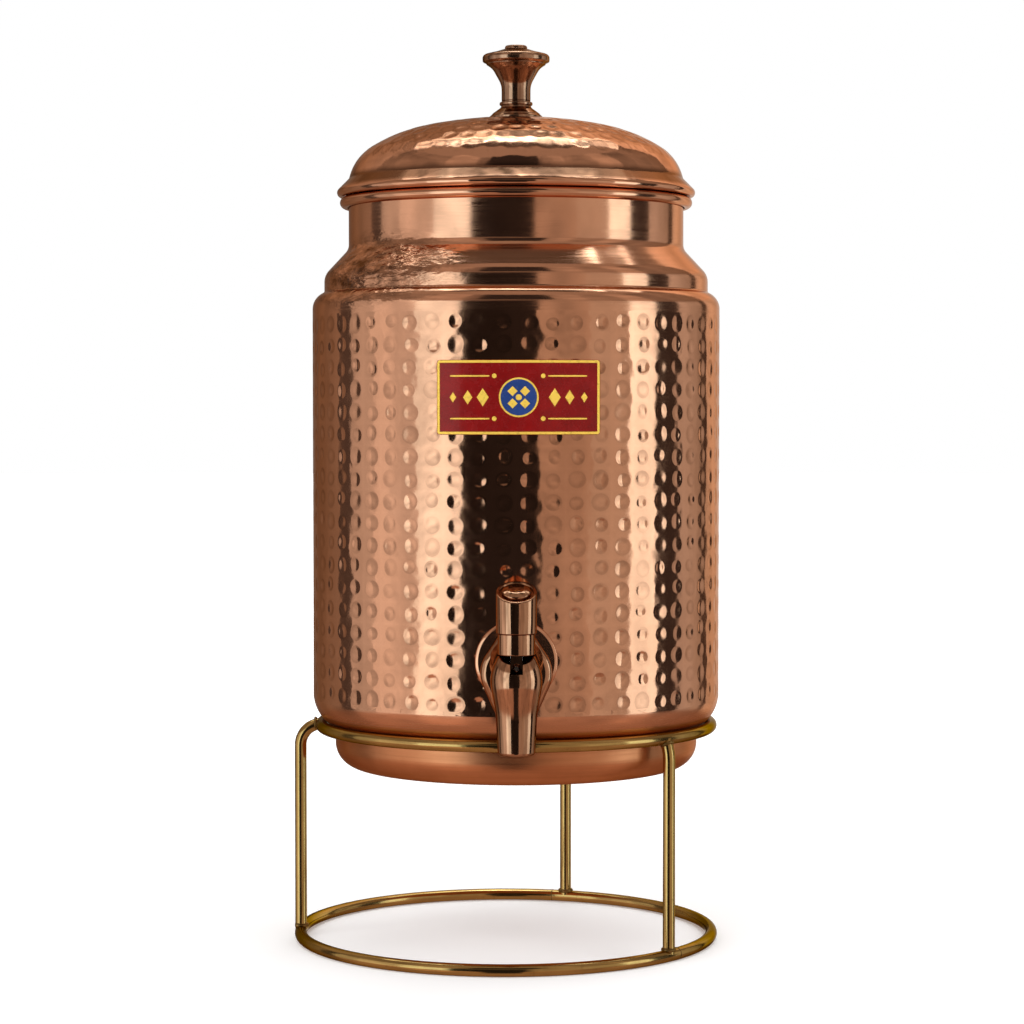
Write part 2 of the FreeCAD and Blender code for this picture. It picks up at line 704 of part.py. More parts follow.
inner_blank = along_tap(turned_body("inner_washer_blank", [
    (washer_hole, "tap_reach - body_radius"),
    ("inner_washer_radius", "tap_reach - body_radius"),
    ("inner_washer_radius", "inner_washer_back"),
    (washer_hole, "inner_washer_back"),
]))
inner_washer = combine("Common", "inner_washer", inner_blank,
                       cylinder("body_radius - wall", "flange_radius * 4", z=around_tap))
nut_blank = doc.addObject("Part::Prism", "NutBlank")
nut_blank.Polygon = 6
bind(nut_blank, "Circumradius", "nut_width / 2 / cos(30)")
bind(nut_blank, "Height", "nut_thick")
place(nut_blank, y="inner_washer_back - tap_reach", z="tap_height", axis=(-1, 0, 0), turn="90")
shank_nut = combine("Cut", "shank_nut", nut_blank,
                    cylinder("shank_radius", "nut_thick * 4", y="inner_washer_back - nut_thick - tap_reach",
                             z="tap_height", axis=(-1, 0, 0), turn="90"))

# Valve
valve_stem = along_tap(turned_body("valve_stem", [
    ("0", "-stem_front"),
    ("stem_radius", "-stem_front"),
    ("stem_radius", "cup_front - stem_flange_thick"),
    ("stem_flange_radius", "cup_front - stem_flange_thick"),
    ("stem_flange_radius", "cup_front"),
    ("stem_radius", "cup_front"),
    ("stem_radius", "stem_end"),
    ("0", "stem_end"),
]))
ball = doc.addObject("Part::Sphere", "BallBlank")
bind(ball, "Radius", "ball_radius")
place(ball, y="-tap_reach - ball_reach", z="tap_height")
stem_ball = combine("Cut", "stem_ball", ball,
                    cylinder("stem_radius", "ball_radius * 4", y="-tap_reach - ball_reach - ball_radius * 2",
                             z="tap_height", axis=(-1, 0, 0), turn="90"))
seat_cup = along_tap(turned_body("seat_cup", [
    ("stem_radius", "cup_front"),
    ("cup_radius", "cup_front", "0.6"),
    ("cup_radius", "cup_back"),
    ("stem_radius", "cup_back"),
]))
spring_clip = along_tap(turned_body("spring_clip", [
    ("stem_radius", "clip_reach"),
    ("clip_radius", "clip_reach"),
    ("clip_radius", "clip_reach + clip_thick"),
    ("stem_radius", "clip_reach + clip_thick"),
]))
return_spring = new_body("return_spring")
coil = return_spring.newObject("PartDesign::AdditiveHelix", "Coil")
coil_section = ring_mark(sketch_on(return_spring, "XZ_Plane"), "spring_wire / 2", "spring_radius", "spring_start")
coil.Profile = coil_section
coil.ReferenceAxis = (coil_section, ["V_Axis"])
coil.Mode = 0
bind(coil, "Pitch", "spring_length / spring_turns")
bind(coil, "Height", "spring_length")
return_spring.Tip = coil
along_tap(return_spring)

# Lever
tap_handle = turned_body("tap_handle", [
    ("0", "handle_low"),
    ("handle_collar_radius", "handle_low", "0.5"),
    ("handle_collar_radius", "handle_line - handle_line_half"),
    ("handle_collar_radius - handle_line_deep", "handle_line"),
    ("handle_radius", "handle_line + handle_line_half", "0.3"),
    ("handle_radius", "handle_back_top"),
    ("0", "handle_back_top"),
])
feature(tap_handle, "Pocket", draw(sketch_on(tap_handle, "YZ_Plane"), [
    ("-handle_radius - 1", "handle_front_top - handle_slope"),
    ("handle_radius + 1", "handle_back_top + handle_slope"),
    ("handle_radius + 1", "handle_back_top + 5"),
    ("-handle_radius - 1", "handle_back_top + 5"),
]), length="handle_radius * 4", both=True)
recess = tap_handle.newObject("PartDesign::SubtractiveCylinder", "Recess")
recess.AttachmentSupport = [([f for f in tap_handle.Origin.OriginFeatures if f.Role == "XY_Plane"][0], "")]
recess.MapMode = "FlatFace"
recess.AttachmentOffset = Placement(Vector(), Rotation(Vector(1, 0, 0), 20))
bind(recess, "Radius", "button_radius + button_gap")
bind(recess, "Height", "button_sunk * 8")
bind(recess, "AttachmentOffset.Base.y", "button_sunk * sin(handle_tilt)")
bind(recess, "AttachmentOffset.Base.z", "handle_middle - button_sunk * cos(handle_tilt)")
bind(recess, "AttachmentOffset.Rotation.Angle", "handle_tilt")
doc.recompute()
tang_outline = draw(sketch_on(tap_handle, "YZ_Plane"), [
    ("-tang_half_thick", "handle_low + 2"),
    ("-tang_half_thick", "-tang_end_drop", "1.8"),
    ("tang_half_thick", "-tang_end_drop", "1.8"),
    ("tang_half_thick", "handle_low + 2"),
])
feature(tap_handle, "Pad", tang_outline, length="tang_width", both=True)
feature(tap_handle, "Pocket", draw(sketch_on(tap_handle, "XZ_Plane"), [
    ("-tang_slot_half", "-tang_slot_low"),
    ("tang_slot_half", "-tang_slot_low"),
    ("tang_slot_half", "tang_slot_high"),
    ("-tang_slot_half", "tang_slot_high"),
]), length="tang_half_thick * 4", both=True)
feature(tap_handle, "Pocket", ring_mark(sketch_on(tap_handle, "YZ_Plane"), "pin_radius + pin_gap", "0",
                                        "-pivot_drop"), length="tang_width * 2", both=True)
place(tap_handle, y="-tap_reach", z="tap_height")

handle_button = place(turned_body("handle_button", [
    ("0", "0"),
    ("button_radius", "0"),
    ("button_radius", "button_edge_high", "0.6"),
    ("button_dome_radius", "button_dome_high", "3"),
    ("0", "button_top"),
]), y="-tap_reach + button_sunk * sin(handle_tilt)",
    z="tap_height + handle_middle - button_sunk * cos(handle_tilt)", axis=(1, 0, 0), turn="handle_tilt")

handle_pin = place(turned_body("handle_pin", [
    ("0", "-pin_half"),
    ("pin_radius", "-pin_half"),
    ("pin_radius", "pin_half"),
    ("0", "pin_half"),
]), y="-tap_reach", z="tap_height - pivot_drop", axis=(0, 1, 0), turn="90")

doc.recompute()

NODES = [top_ring, base_ring] + legs + [
    jar_body, jar_base_pan, rim_wire, badge_plate,
    lid_shell, lid_collar, lid_knob, knob_screw, knob_washer,
    tap_body, tap_shank, tap_flange, outer_washer, inner_washer, shank_nut,
    tap_handle, handle_button, handle_pin,
    valve_stem, stem_ball, seat_cup, return_spring, spring_clip,
]

for thing in doc.Objects:
    if "Invalid" in thing.State or "Error" in thing.State:
        raise RuntimeError(f"{thing.Name} did not compute: {thing.State}")
for node in NODES:
    shape = node.Shape
    if shape.isNull() or not shape.isValid() or shape.Volume < 1:
        raise RuntimeError(f"{node.Label} has no sound solid")
    shape.exportStep(f"parts/{node.Label}.step")
    box = shape.BoundBox
    print(f"{node.Label:18s} {len(shape.Solids)} {shape.Volume:10.1f}"
          f"  x {box.XMin:8.2f} {box.XMax:8.2f}  y {box.YMin:8.2f} {box.YMax:8.2f}"
          f"  z {box.ZMin:8.2f} {box.ZMax:8.2f}")
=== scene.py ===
import math
import random

import bmesh
import bpy
import numpy as np
from bpy.props import FloatProperty, FloatVectorProperty, IntProperty, PointerProperty
from mathutils import Matrix, Vector


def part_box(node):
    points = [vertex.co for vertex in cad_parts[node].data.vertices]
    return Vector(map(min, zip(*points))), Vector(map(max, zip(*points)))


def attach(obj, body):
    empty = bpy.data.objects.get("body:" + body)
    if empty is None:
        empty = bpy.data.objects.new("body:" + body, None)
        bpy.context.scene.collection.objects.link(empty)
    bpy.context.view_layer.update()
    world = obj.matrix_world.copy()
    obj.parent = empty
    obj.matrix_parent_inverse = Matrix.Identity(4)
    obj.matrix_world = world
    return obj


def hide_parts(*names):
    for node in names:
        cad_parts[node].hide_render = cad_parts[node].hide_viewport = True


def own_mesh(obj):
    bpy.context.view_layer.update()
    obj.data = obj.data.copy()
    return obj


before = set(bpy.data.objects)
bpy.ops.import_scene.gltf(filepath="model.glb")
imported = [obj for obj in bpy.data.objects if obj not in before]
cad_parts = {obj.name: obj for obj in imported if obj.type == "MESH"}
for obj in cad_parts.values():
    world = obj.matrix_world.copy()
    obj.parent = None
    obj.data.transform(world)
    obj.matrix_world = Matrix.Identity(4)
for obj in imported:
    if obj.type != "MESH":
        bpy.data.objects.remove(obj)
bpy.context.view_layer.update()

bl_info = {
    "name": "Copper Water Dispenser",
    "version": (1, 0, 0),
    "blender": (4, 5, 0),
    "location": "View3D > Sidebar > Dispenser",
    "description": "Builds the hammered jar, lid, tap, label plate and wire stand of a copper water dispenser",
    "category": "Add Mesh",
}


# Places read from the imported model, and shared sizes, in metres

JAR_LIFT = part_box("jar_base_pan")[0].z
LID_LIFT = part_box("lid_shell")[0].z
KNOB_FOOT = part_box("lid_knob")[0].z
BODY_RADIUS = 0.1
TAP_Y = -0.132
TAP_Z = 0.1454


# Sizes and colours that a user would change

def length(name, description, default, low=0.0):
    return FloatProperty(name=name, description=description, default=default, min=low, unit="LENGTH", precision=5)


def colour(name, description, default):
    return FloatVectorProperty(name=name, description=description, default=default, size=3, subtype="COLOR",
                               min=0.0, max=1.0)


class HammerSettings(bpy.types.PropertyGroup):
    """Hammer marks on the jar's wall and on the lid's dome."""
    marks_round: IntProperty(name="Marks round the jar", description="Hammer marks in one row", default=55, min=12)
    rows: IntProperty(name="Rows", description="Rows of marks on the wall", default=18, min=2)
    low: length("Lowest edge", "Height at which the hammered wall starts", 0.1195)
    high: length("Highest edge", "Height at which the hammered wall ends", 0.3065)
    mark_radius: length("Mark radius", "Radius of one hammer mark", 0.0039)
    mark_depth: length("Mark depth", "Depth of one hammer mark at its middle", 0.00040)
    wander: length("Wander", "How far a mark may sit from its even place", 0.0014)
    seed: IntProperty(name="Seed", description="Number that sets the marks' wander", default=11)


class MetalSettings(bpy.types.PropertyGroup):
    """Colours of the metals and of the label plate."""
    copper: colour("Copper", "Polished copper of the jar and the lid", (0.90, 0.50, 0.33))
    plated: colour("Plated copper", "Mirror-polished plating of the tap", (0.63, 0.355, 0.225))
    bronze: colour("Knob", "Darker turned copper of the knob", (0.56, 0.345, 0.235))
    brass: colour("Wire", "Antique brass of the stand", (0.62, 0.425, 0.160))
    enamel: colour("Enamel", "Red field of the label plate", (0.215, 0.004, 0.004))
    gilt: colour("Gilt", "Border and ornament of the label plate", (0.86, 0.58, 0.09))
    panel_blue: colour("Blue", "Medallion of the label plate", (0.02, 0.05, 0.20))


class StageSettings(bpy.types.PropertyGroup):
    """Camera and studio."""
    distance: length("Distance", "From the jar's axis to the camera", 1.4)
    height: length("Height", "Camera height above the floor", 0.265)
    dip: FloatProperty(name="Dip", description="How far the camera looks down", default=math.radians(2.246),
                       subtype="ANGLE")
    aside: length("Aside", "How far the camera stands to the left", 0.002, -1.0)
    lens: FloatProperty(name="Lens", description="Focal length in millimetres", default=99.7, min=10.0)


# Outlines

def walk(corners, side=1, turn=math.radians(5), longest=None):
    """Points and outward normals along straight runs with rounded corners (radius, height, rounding)."""
    spots = [Vector(c[:2]) for c in corners]
    rounds = [c[2] if len(c) > 2 else 0.0 for c in corners]
    points, normals = [], []

    def note(point, direction):
        points.append((point.x, point.y))
        normals.append((direction.y * side, -direction.x * side))

    for i, (spot, size) in enumerate(zip(spots, rounds)):
        if i in (0, len(spots) - 1) or size == 0:
            ahead = (spots[i + 1] - spot if i + 1 < len(spots) else spot - spots[i - 1]).normalized()
            if 0 < i < len(spots) - 1:
                ahead = (ahead + (spot - spots[i - 1]).normalized()).normalized()
            note(spot, ahead)
            continue
        back = (spots[i - 1] - spot).normalized()
        ahead = (spots[i + 1] - spot).normalized()
        bend = math.pi - back.angle(ahead)
        trim = size * math.tan(bend / 2)
        centre = spot + (back + ahead).normalized() * (size / math.cos(bend / 2))
        steps = max(2, math.ceil(bend / turn))
        swing = bend if (-back).cross(ahead) > 0 else -bend
        start = spot + back * trim - centre
        for k in range(steps + 1):
            turned = Matrix.Rotation(swing * k / steps, 2)
            note(centre + turned @ start, turned @ -back)
    if longest:
        full_points, full_normals = [points[0]], [normals[0]]
        for a, b, m, n in zip(points, points[1:], normals, normals[1:]):
            count = max(1, math.ceil(math.dist(a, b) / longest))
            for k in range(1, count + 1):
                f = k / count
                full_points.append((a[0] + (b[0] - a[0]) * f, a[1] + (b[1] - a[1]) * f))
                full_normals.append((m[0] + (n[0] - m[0]) * f, m[1] + (n[1] - m[1]) * f))
        points, normals = full_points, full_normals
    return points, normals


def inset_line(points, normals, wall):
    return [(p[0] - n[0] * wall, p[1] - n[1] * wall) for p, n in zip(points, normals)]


def curl(centre, radius, start, sweep, steps):
    """Points along an arc, from the start angle on by the sweep."""
    return [(centre[0] + radius * math.cos(start + sweep * k / steps),
             centre[1] + radius * math.sin(start + sweep * k / steps)) for k in range(steps + 1)]


# Meshes and pieces

def verts_in(geom):
    return [g for g in geom if isinstance(g, bmesh.types.BMVert)]


def edges_within(geom, verts):
    """The edges in a bmesh operator's result whose ends are both among the given vertices."""
    known = set(verts)
    return [g for g in geom if isinstance(g, bmesh.types.BMEdge) and set(g.verts) <= known]


def everything(bm):
    return list(bm.verts) + list(bm.edges) + list(bm.faces)


def rotate(bm, verts, angle, axis):
    bmesh.ops.rotate(bm, verts=verts, cent=(0, 0, 0), matrix=Matrix.Rotation(angle, 3, axis))


def move(bm, verts, way):
    bmesh.ops.translate(bm, verts=verts, vec=way)


def face_back(bm, verts):
    """Turns what was drawn along Z so that it points back, along Y."""
    rotate(bm, verts, math.radians(-90), "X")


def to_mesh(name, bm):
    mesh = bpy.data.meshes.new(name)
    bm.to_mesh(mesh)
    bm.free()
    return mesh


def put(name, data):
    made = bpy.data.objects.new(name, data)
    bpy.context.scene.collection.objects.link(made)
    return made


def loose(name, bm):
    return put(name, to_mesh(name, bm))


def spin(bm, points, steps, closed=False):
    """Spins a chain of (radius, height) points once round the Z axis, sector by sector."""
    sectors = max(d for d in range(1, math.isqrt(steps) + 1) if steps % d == 0)
    piece = bmesh.new()
    verts = [piece.verts.new((0, -r, z)) for r, z in points]
    edges = [piece.edges.new(pair) for pair in zip(verts, verts[1:])]
    if closed:
        edges.append(piece.edges.new((verts[-1], verts[0])))
    bmesh.ops.spin(piece, geom=verts + edges, axis=(0, 0, 1), cent=(0, 0, 0), dvec=(0, 0, 0),
                   angle=math.tau / sectors, steps=steps // sectors)
    first = everything(piece)
    for k in range(1, sectors):
        made = bmesh.ops.duplicate(piece, geom=first)["geom"]
        rotate(piece, verts_in(made), math.tau * k / sectors, "Z")
    bmesh.ops.remove_doubles(piece, verts=piece.verts, dist=1e-6)
    mesh = to_mesh("turned", piece)
    count = len(bm.verts)
    bm.from_mesh(mesh)
    bpy.data.meshes.remove(mesh)
    bm.verts.ensure_lookup_table()
    return bm.verts[count:]


def turned_part(points, steps, closed=False):
    bm = bmesh.new()
    spin(bm, points, steps, closed)
    return bm


def settle(name, bm, materials, body, nodes=(), sharp=38):
    """Turns a finished bmesh into a piece that rides on its body and stands for its CAD nodes."""
    bmesh.ops.recalc_face_normals(bm, faces=bm.faces)
    mesh = to_mesh(name, bm)
    for material in materials if isinstance(materials, (list, tuple)) else [materials]:
        mesh.materials.append(material)
    piece = put(name.replace(" ", "_"), mesh)
    mesh.shade_smooth()
    mesh.set_sharp_from_angle(angle=math.radians(sharp))
    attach(piece, body)
    if nodes:
        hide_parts(*nodes)
    return piece


def cut(piece, *cutters):
    """Takes the cutters out of a piece and removes them."""
    for cutter in cutters:
        tool = piece.modifiers.new("cut", "BOOLEAN")
        tool.operation, tool.solver, tool.object = "DIFFERENCE", "EXACT", cutter
    mesh = bpy.data.meshes.new_from_object(piece.evaluated_get(bpy.context.evaluated_depsgraph_get()))
    piece.modifiers.clear()
    piece.data = mesh
    for cutter in cutters:
        bpy.data.objects.remove(cutter)


# Materials

class Nodes:
    """Short hand for wiring one node tree."""

    def __init__(self, tree):
        self.tree = tree
        self.place = self.add("ShaderNodeTexCoord").outputs["Object"]

    def add(self, kind, links=None, values=None, **props):
        node = self.tree.nodes.new(kind)
        for key, value in props.items():
            setattr(node, key, value)
        for key, value in (values or {}).items():
            node.inputs[key].default_value = value
        for key, source in (links or {}).items():
            self.tree.links.new(source, node.inputs[key])
        return node

    def stretch(self, across, up):
        return self.add("ShaderNodeMapping", {"Vector": self.place}, {"Scale": (across, across, up)}).outputs[0]

    def noise(self, scale, detail=3.0, rough=0.5, source=None):
        return self.add("ShaderNodeTexNoise", {"Vector": source or self.place},
                        {"Scale": scale, "Detail": detail, "Roughness": rough}).outputs[0]

    def streaks(self, across, up, detail=2.0, rough=0.5):
        """Noise drawn out along the direction with the smaller number."""
        return self.noise(1.0, detail, rough, self.stretch(across, up))

    def ramp(self, source, low, high, out_low=0.0, out_high=1.0, kind="LINEAR"):
        return self.add("ShaderNodeMapRange", {"Value": source}, {
            "From Min": low, "From Max": high, "To Min": out_low, "To Max": out_high},
            interpolation_type=kind).outputs[0]

    def math(self, operation, first, second):
        node = self.add("ShaderNodeMath", operation=operation)
        for socket, value in zip(node.inputs, (first, second)):
            if isinstance(value, (int, float)):
                socket.default_value = value
            else:
                self.tree.links.new(value, socket)
        return node.outputs[0]

    def mix(self, factor, first, second):
        node = self.add("ShaderNodeMix", {"Factor": factor}, data_type="RGBA")
        for socket, value in zip([s for s in node.inputs if s.type == "RGBA"], (first, second)):
            if isinstance(value, tuple):
                socket.default_value = (*value, 1)
            else:
                self.tree.links.new(value, socket)
        return [s for s in node.outputs if s.type == "RGBA"][0]

    def bump(self, height, strength, distance, below=None):
        links = {"Height": height}
        if below:
            links["Normal"] = below
        return self.add("ShaderNodeBump", links, {"Strength": strength, "Distance": distance}).outputs[0]

    def up(self):
        return self.add("ShaderNodeSeparateXYZ", {"Vector": self.place}).outputs["Z"]


class Graph(Nodes):
    """One surface material. The rim is the tint of a metal's grazing edges."""

    def __init__(self, name, roughness, metallic=1.0, coat=0.0, rim=(0.62, 0.46, 0.36)):
        found = bpy.data.materials.get(name)
        if found:
            bpy.data.materials.remove(found)
        self.material = bpy.data.materials.new(name)
        self.material.use_nodes = True
        super().__init__(self.material.node_tree)
        self.shader = self.tree.nodes["Principled BSDF"]
        self.set({"Metallic": metallic, "Roughness": roughness})
        if coat:
            self.set({"Coat Weight": coat, "Coat Roughness": 0.05})
        if metallic:
            self.set({"Specular Tint": (*rim, 1)})

    def set(self, values):
        for key, value in values.items():
            self.shader.inputs[key].default_value = value

    def finish(self, base, roughness, normal):
        for key, source in (("Base Color", base), ("Roughness", roughness), ("Normal", normal)):
            self.tree.links.new(source, self.shader.inputs[key])
        return self.material


def shade(tone, factor, warm=1.0):
    return tuple(min(1.0, c * factor * w) for c, w in zip(tone, (warm, 1.0, 1.0 / warm)))


def polished_base(name, tone):
    """Graph and base colour of polished copper with faint cloudy tarnish and small spots."""
    g = Graph(name, 0.14)
    clouds = g.ramp(g.noise(14.0, 4.0, 0.6), 0.35, 0.7)
    spots = g.ramp(g.noise(160.0, 3.0, 0.6), 0.58, 0.75)
    base = g.mix(clouds, shade(tone, 1.0), shade(tone, 0.86, 1.04))
    return g, clouds, g.mix(g.math("MULTIPLY", spots, 0.25), base, shade(tone, 0.72, 1.06))


def hammered_copper(tone):
    """Polished copper with hammer marks, whose tarnish and painted shade are in the vertex layer "mark"."""
    g, _, base = polished_base("hammered copper", tone)
    worn = g.add("ShaderNodeAttribute", attribute_name="mark").outputs["Fac"]
    # Tarnish and painted shade: the layer darkens the base colour at the marks' rims and in the lid's flare crease
    base = g.mix(g.math("MULTIPLY", worn, 0.78), base, shade(tone, 0.34, 1.06))
    gloss = g.ramp(g.noise(45.0, 4.0, 0.6), 0.3, 0.75, 0.06, 0.14)
    fine = g.bump(g.noise(260.0), 0.06, 0.0003)
    return g.finish(base, g.math("ADD", gloss, g.math("MULTIPLY", worn, 0.05)),
                    g.bump(g.noise(62.0, 2.0), 0.34, 0.0014, fine))


def brushed_copper(name, tone, fade=None):
    """Wheel-polished copper with a stain on the left shoulder; if it fades, satin below a height, in a painted-shade
    tone.
    """
    g, clouds, base = polished_base(name, tone)
    wheel = g.streaks(26.0, 1500.0)
    roughness = g.ramp(wheel, 0.25, 0.8, 0.08, 0.20)
    normal = g.bump(g.streaks(11.0, 90.0), 0.20, 0.0012, g.bump(wheel, 0.10, 0.00018))
    flat = 3.0  # the stain is this many times as wide as it is high
    spot = g.add("ShaderNodeVectorMath", {0: g.stretch(1.0, flat)}, {1: (-0.076, -0.062, 0.327 * flat)},
                 operation="DISTANCE")
    near = g.ramp(spot.outputs["Value"], 0.062, 0.026)
    stain = g.math("MULTIPLY", near, g.ramp(g.streaks(85.0, 170.0, 4.0, 0.65), 0.38, 0.60))
    base = g.mix(stain, base, shade(tone, 0.22, 1.08))
    roughness = g.math("ADD", roughness, g.math("MULTIPLY", stain, 0.08))
    normal = g.bump(g.math("MULTIPLY", near, g.streaks(150.0, 380.0)), 0.75, 0.0016, normal)
    if fade:
        # Painted shade: below the fade, the colour turns to the darker, warmer satin tone
        satin_and_shade = g.ramp(g.up(), *fade)
        base = g.mix(satin_and_shade, base, g.mix(clouds, SATIN_SHADED_TONE, shade(SATIN_SHADED_TONE, 0.82)))
        roughness = g.math("ADD", roughness, g.math("MULTIPLY", satin_and_shade, 0.24))
    return g.finish(base, roughness, normal)


# Satin tone, darker and warmer than polished copper: painted shade and painted warm reflection
SATIN_SHADED_TONE = (0.84, 0.39, 0.205)
FADE = (0.1195, 0.1085)  # heights between which polished copper turns satin


def satin_copper(tone):
    """Spun copper left satin below the marks: soft rings, and a deeper, warmer tone that is painted shade and
    painted warm reflection.
    """
    g = Graph("satin copper", 0.34)
    rings = g.streaks(14.0, 1200.0, 3.0, 0.6)
    clouds = g.ramp(g.noise(24.0, 4.0, 0.6), 0.35, 0.72)
    base = g.mix(clouds, shade(tone, 0.97, 1.04), shade(tone, 0.74, 1.10))
    base = g.mix(g.ramp(rings, 0.5, 0.8, 0.0, 0.35), base, shade(tone, 0.60, 1.10))
    return g.finish(base, g.ramp(rings, 0.25, 0.8, 0.27, 0.42), g.bump(rings, 0.16, 0.0002))


def plated_copper(tone):
    """Mirror-polished plating with faint pits and wiping marks."""
    g = Graph("plated copper", 0.07, rim=(0.30, 0.20, 0.14))
    wipes = g.streaks(620.0, 22.0, 3.0, 0.6)
    base = g.mix(g.ramp(g.noise(60.0, 4.0, 0.6), 0.4, 0.7), shade(tone, 1.0), shade(tone, 0.84, 1.03))
    base = g.mix(g.ramp(wipes, 0.45, 0.75, 0.0, 0.75), base, shade(tone, 0.42, 1.05))
    roughness = g.ramp(g.noise(120.0, 4.0, 0.6), 0.35, 0.75, 0.06, 0.15)
    return g.finish(base, roughness, g.bump(g.noise(140.0, 2.0), 0.07, 0.0005, g.bump(wipes, 0.10, 0.0002)))


def turned_bronze(tone):
    """Darker turned copper with fine lathe rings, and upright light and dark streaks that are painted reflections.
    """
    g = Graph("turned bronze", 0.2, rim=(0.30, 0.21, 0.15))
    lathe = g.streaks(30.0, 2600.0)
    # Painted reflections: upright streaks that lighten and darken the base colour
    streaks = g.streaks(300.0, 24.0, 3.0, 0.6)
    base = g.mix(g.ramp(streaks, 0.36, 0.68), shade(tone, 1.06), shade(tone, 0.55, 1.05))
    roughness = g.ramp(lathe, 0.25, 0.8, 0.10, 0.22)
    return g.finish(base, roughness, g.bump(g.noise(90.0, 2.0), 0.08, 0.0006, g.bump(lathe, 0.08, 0.00012)))


def antique_brass(name, tone, darkness):
    """Drawn brass wire, lacquered: cloudy age and darker spots."""
    g = Graph(name, 0.22, rim=(0.34, 0.27, 0.15))
    age = g.ramp(g.noise(30.0, 4.0, 0.6), 0.38, 0.70)
    specks = g.ramp(g.noise(420.0, 3.0, 0.6), 0.60, 0.74)
    base = g.mix(age, shade(tone, 1.0 - darkness), shade(tone, 0.76 - darkness, 1.03))
    base = g.mix(g.math("MULTIPLY", specks, 0.30), base, shade(tone, 0.35, 1.06))
    roughness = g.ramp(g.noise(120.0, 4.0, 0.6), 0.3, 0.75, 0.10, 0.21)
    return g.finish(base, roughness, g.bump(g.noise(300.0), 0.06, 0.0003, g.bump(g.noise(60.0, 2.0), 0.05, 0.0008)))


def braze(tone):
    """Rough darkened filler of the brazed joints."""
    g = Graph("braze", 0.45)
    lumps = g.noise(520.0, 4.0, 0.65)
    base = g.mix(g.ramp(lumps, 0.35, 0.7), shade(tone, 0.75), shade(tone, 0.16, 1.1))
    return g.finish(base, g.ramp(lumps, 0.3, 0.8, 0.32, 0.6), g.bump(lumps, 0.5, 0.0006))


def enamel(name, tone):
    """Glossy fired enamel with a slight orange-peel surface and fine depth variation."""
    g = Graph(name, 0.24, metallic=0.0, coat=0.15)
    g.set({"Specular IOR Level": 0.22})
    base = g.mix(g.ramp(g.noise(90.0, 4.0, 0.6), 0.35, 0.7), shade(tone, 1.0), shade(tone, 0.72))
    return g.finish(base, g.ramp(g.noise(240.0, 3.0, 0.6), 0.3, 0.75, 0.20, 0.34),
                    g.bump(g.noise(260.0, 2.0), 0.08, 0.0004))


def gilt(tone):
    """Thin gilt lines, a little worn."""
    g = Graph("gilt", 0.35, metallic=0.25)
    base = g.mix(g.ramp(g.noise(500.0, 4.0, 0.65), 0.52, 0.78), shade(tone, 1.05), shade(tone, 0.62))
    return g.finish(base, g.ramp(g.noise(700.0, 3.0, 0.6), 0.3, 0.75, 0.28, 0.45),
                    g.bump(g.noise(900.0, 2.0), 0.08, 0.0001))


def plain(name, metallic, scale, light, dark, gloss, bump):
    """An even, finely grained material."""
    g = Graph(name, 0.5, metallic=metallic, rim=(1, 1, 1))
    fine = g.noise(scale)
    return g.finish(g.mix(g.ramp(fine, 0.3, 0.7), light, dark), g.ramp(fine, 0.3, 0.7, *gloss),
                    g.bump(fine, 0.1, bump))


MATERIALS = {}


def build_materials(settings):
    copper, brass = tuple(settings.copper), tuple(settings.brass)
    MATERIALS.update({
        "hammered": hammered_copper(copper),
        "brushed": brushed_copper("brushed copper", copper),
        "fading": brushed_copper("fading copper", copper, FADE),
        "satin": satin_copper(SATIN_SHADED_TONE),
        "plated": plated_copper(tuple(settings.plated)),
        "bronze": turned_bronze(tuple(settings.bronze)),
        "wire": antique_brass("antique brass wire", brass, 0.0),
        "machined": antique_brass("machined brass", brass, 0.1),
        "braze": braze(brass),
        "enamel": enamel("red enamel", tuple(settings.enamel)),
        "blue": enamel("blue enamel", tuple(settings.panel_blue)),
        "gilt": gilt(tuple(settings.gilt)),
        "steel": plain("stainless steel", 1.0, 900.0, (0.62, 0.62, 0.63), (0.5, 0.5, 0.51), (0.18, 0.32), 0.0001),
        "silicone": plain("silicone", 0.0, 400.0, (0.74, 0.74, 0.72), (0.66, 0.66, 0.64), (0.42, 0.6), 0.0002),
    })


def dress_nodes():
    """Materials for the CAD pieces that keep their own shape."""
    finishes = {"machined": ("tap_shank", "shank_nut"), "silicone": ("outer_washer", "inner_washer", "seat_cup"),
                "steel": ("knob_screw", "knob_washer", "handle_pin", "valve_stem", "stem_ball", "spring_clip")}
    for finish, names in finishes.items():
        for name in names:
            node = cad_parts[name]
            if not node.material_slots:
                node.data.materials.append(MATERIALS[finish])
            for slot in node.material_slots:
                slot.link = "OBJECT"
                slot.material = MATERIALS[finish]


# Jar. Lines are (radius, height, rounding) above the pan's underside.

WALL = 0.0011
JAR_LINE = ((0.08805, 0.01265), (0.08805, 0.01915, 0.0012), (0.1, 0.0246, 0.0185), (0.1, 0.2301, 0.0085),
            (0.0942, 0.23306, 0.0012), (0.0942, 0.24131, 0.008), (0.0822, 0.25418, 0.006), (0.0822, 0.2769))
PAN_LINE = ((0, 0), (0.0892, 0, 0.012), (0.0892, 0.01795))
BEAD = (0.0838, 0.2769)  # middle of the bead that is rolled round the rim's wire
BEAD_INNER, BEAD_OUTER, BEAD_SWEEP = 0.0016, 0.0027, math.radians(290)
MARK_RIM = 0.34  # a mark's radius in its cell, which is 1 wide
MARK_RINGS = (0.372, 0.333, 0.245, 0.13)  # the mesh's rings round and in a mark, in the same measure
MARK_SIDES = 16


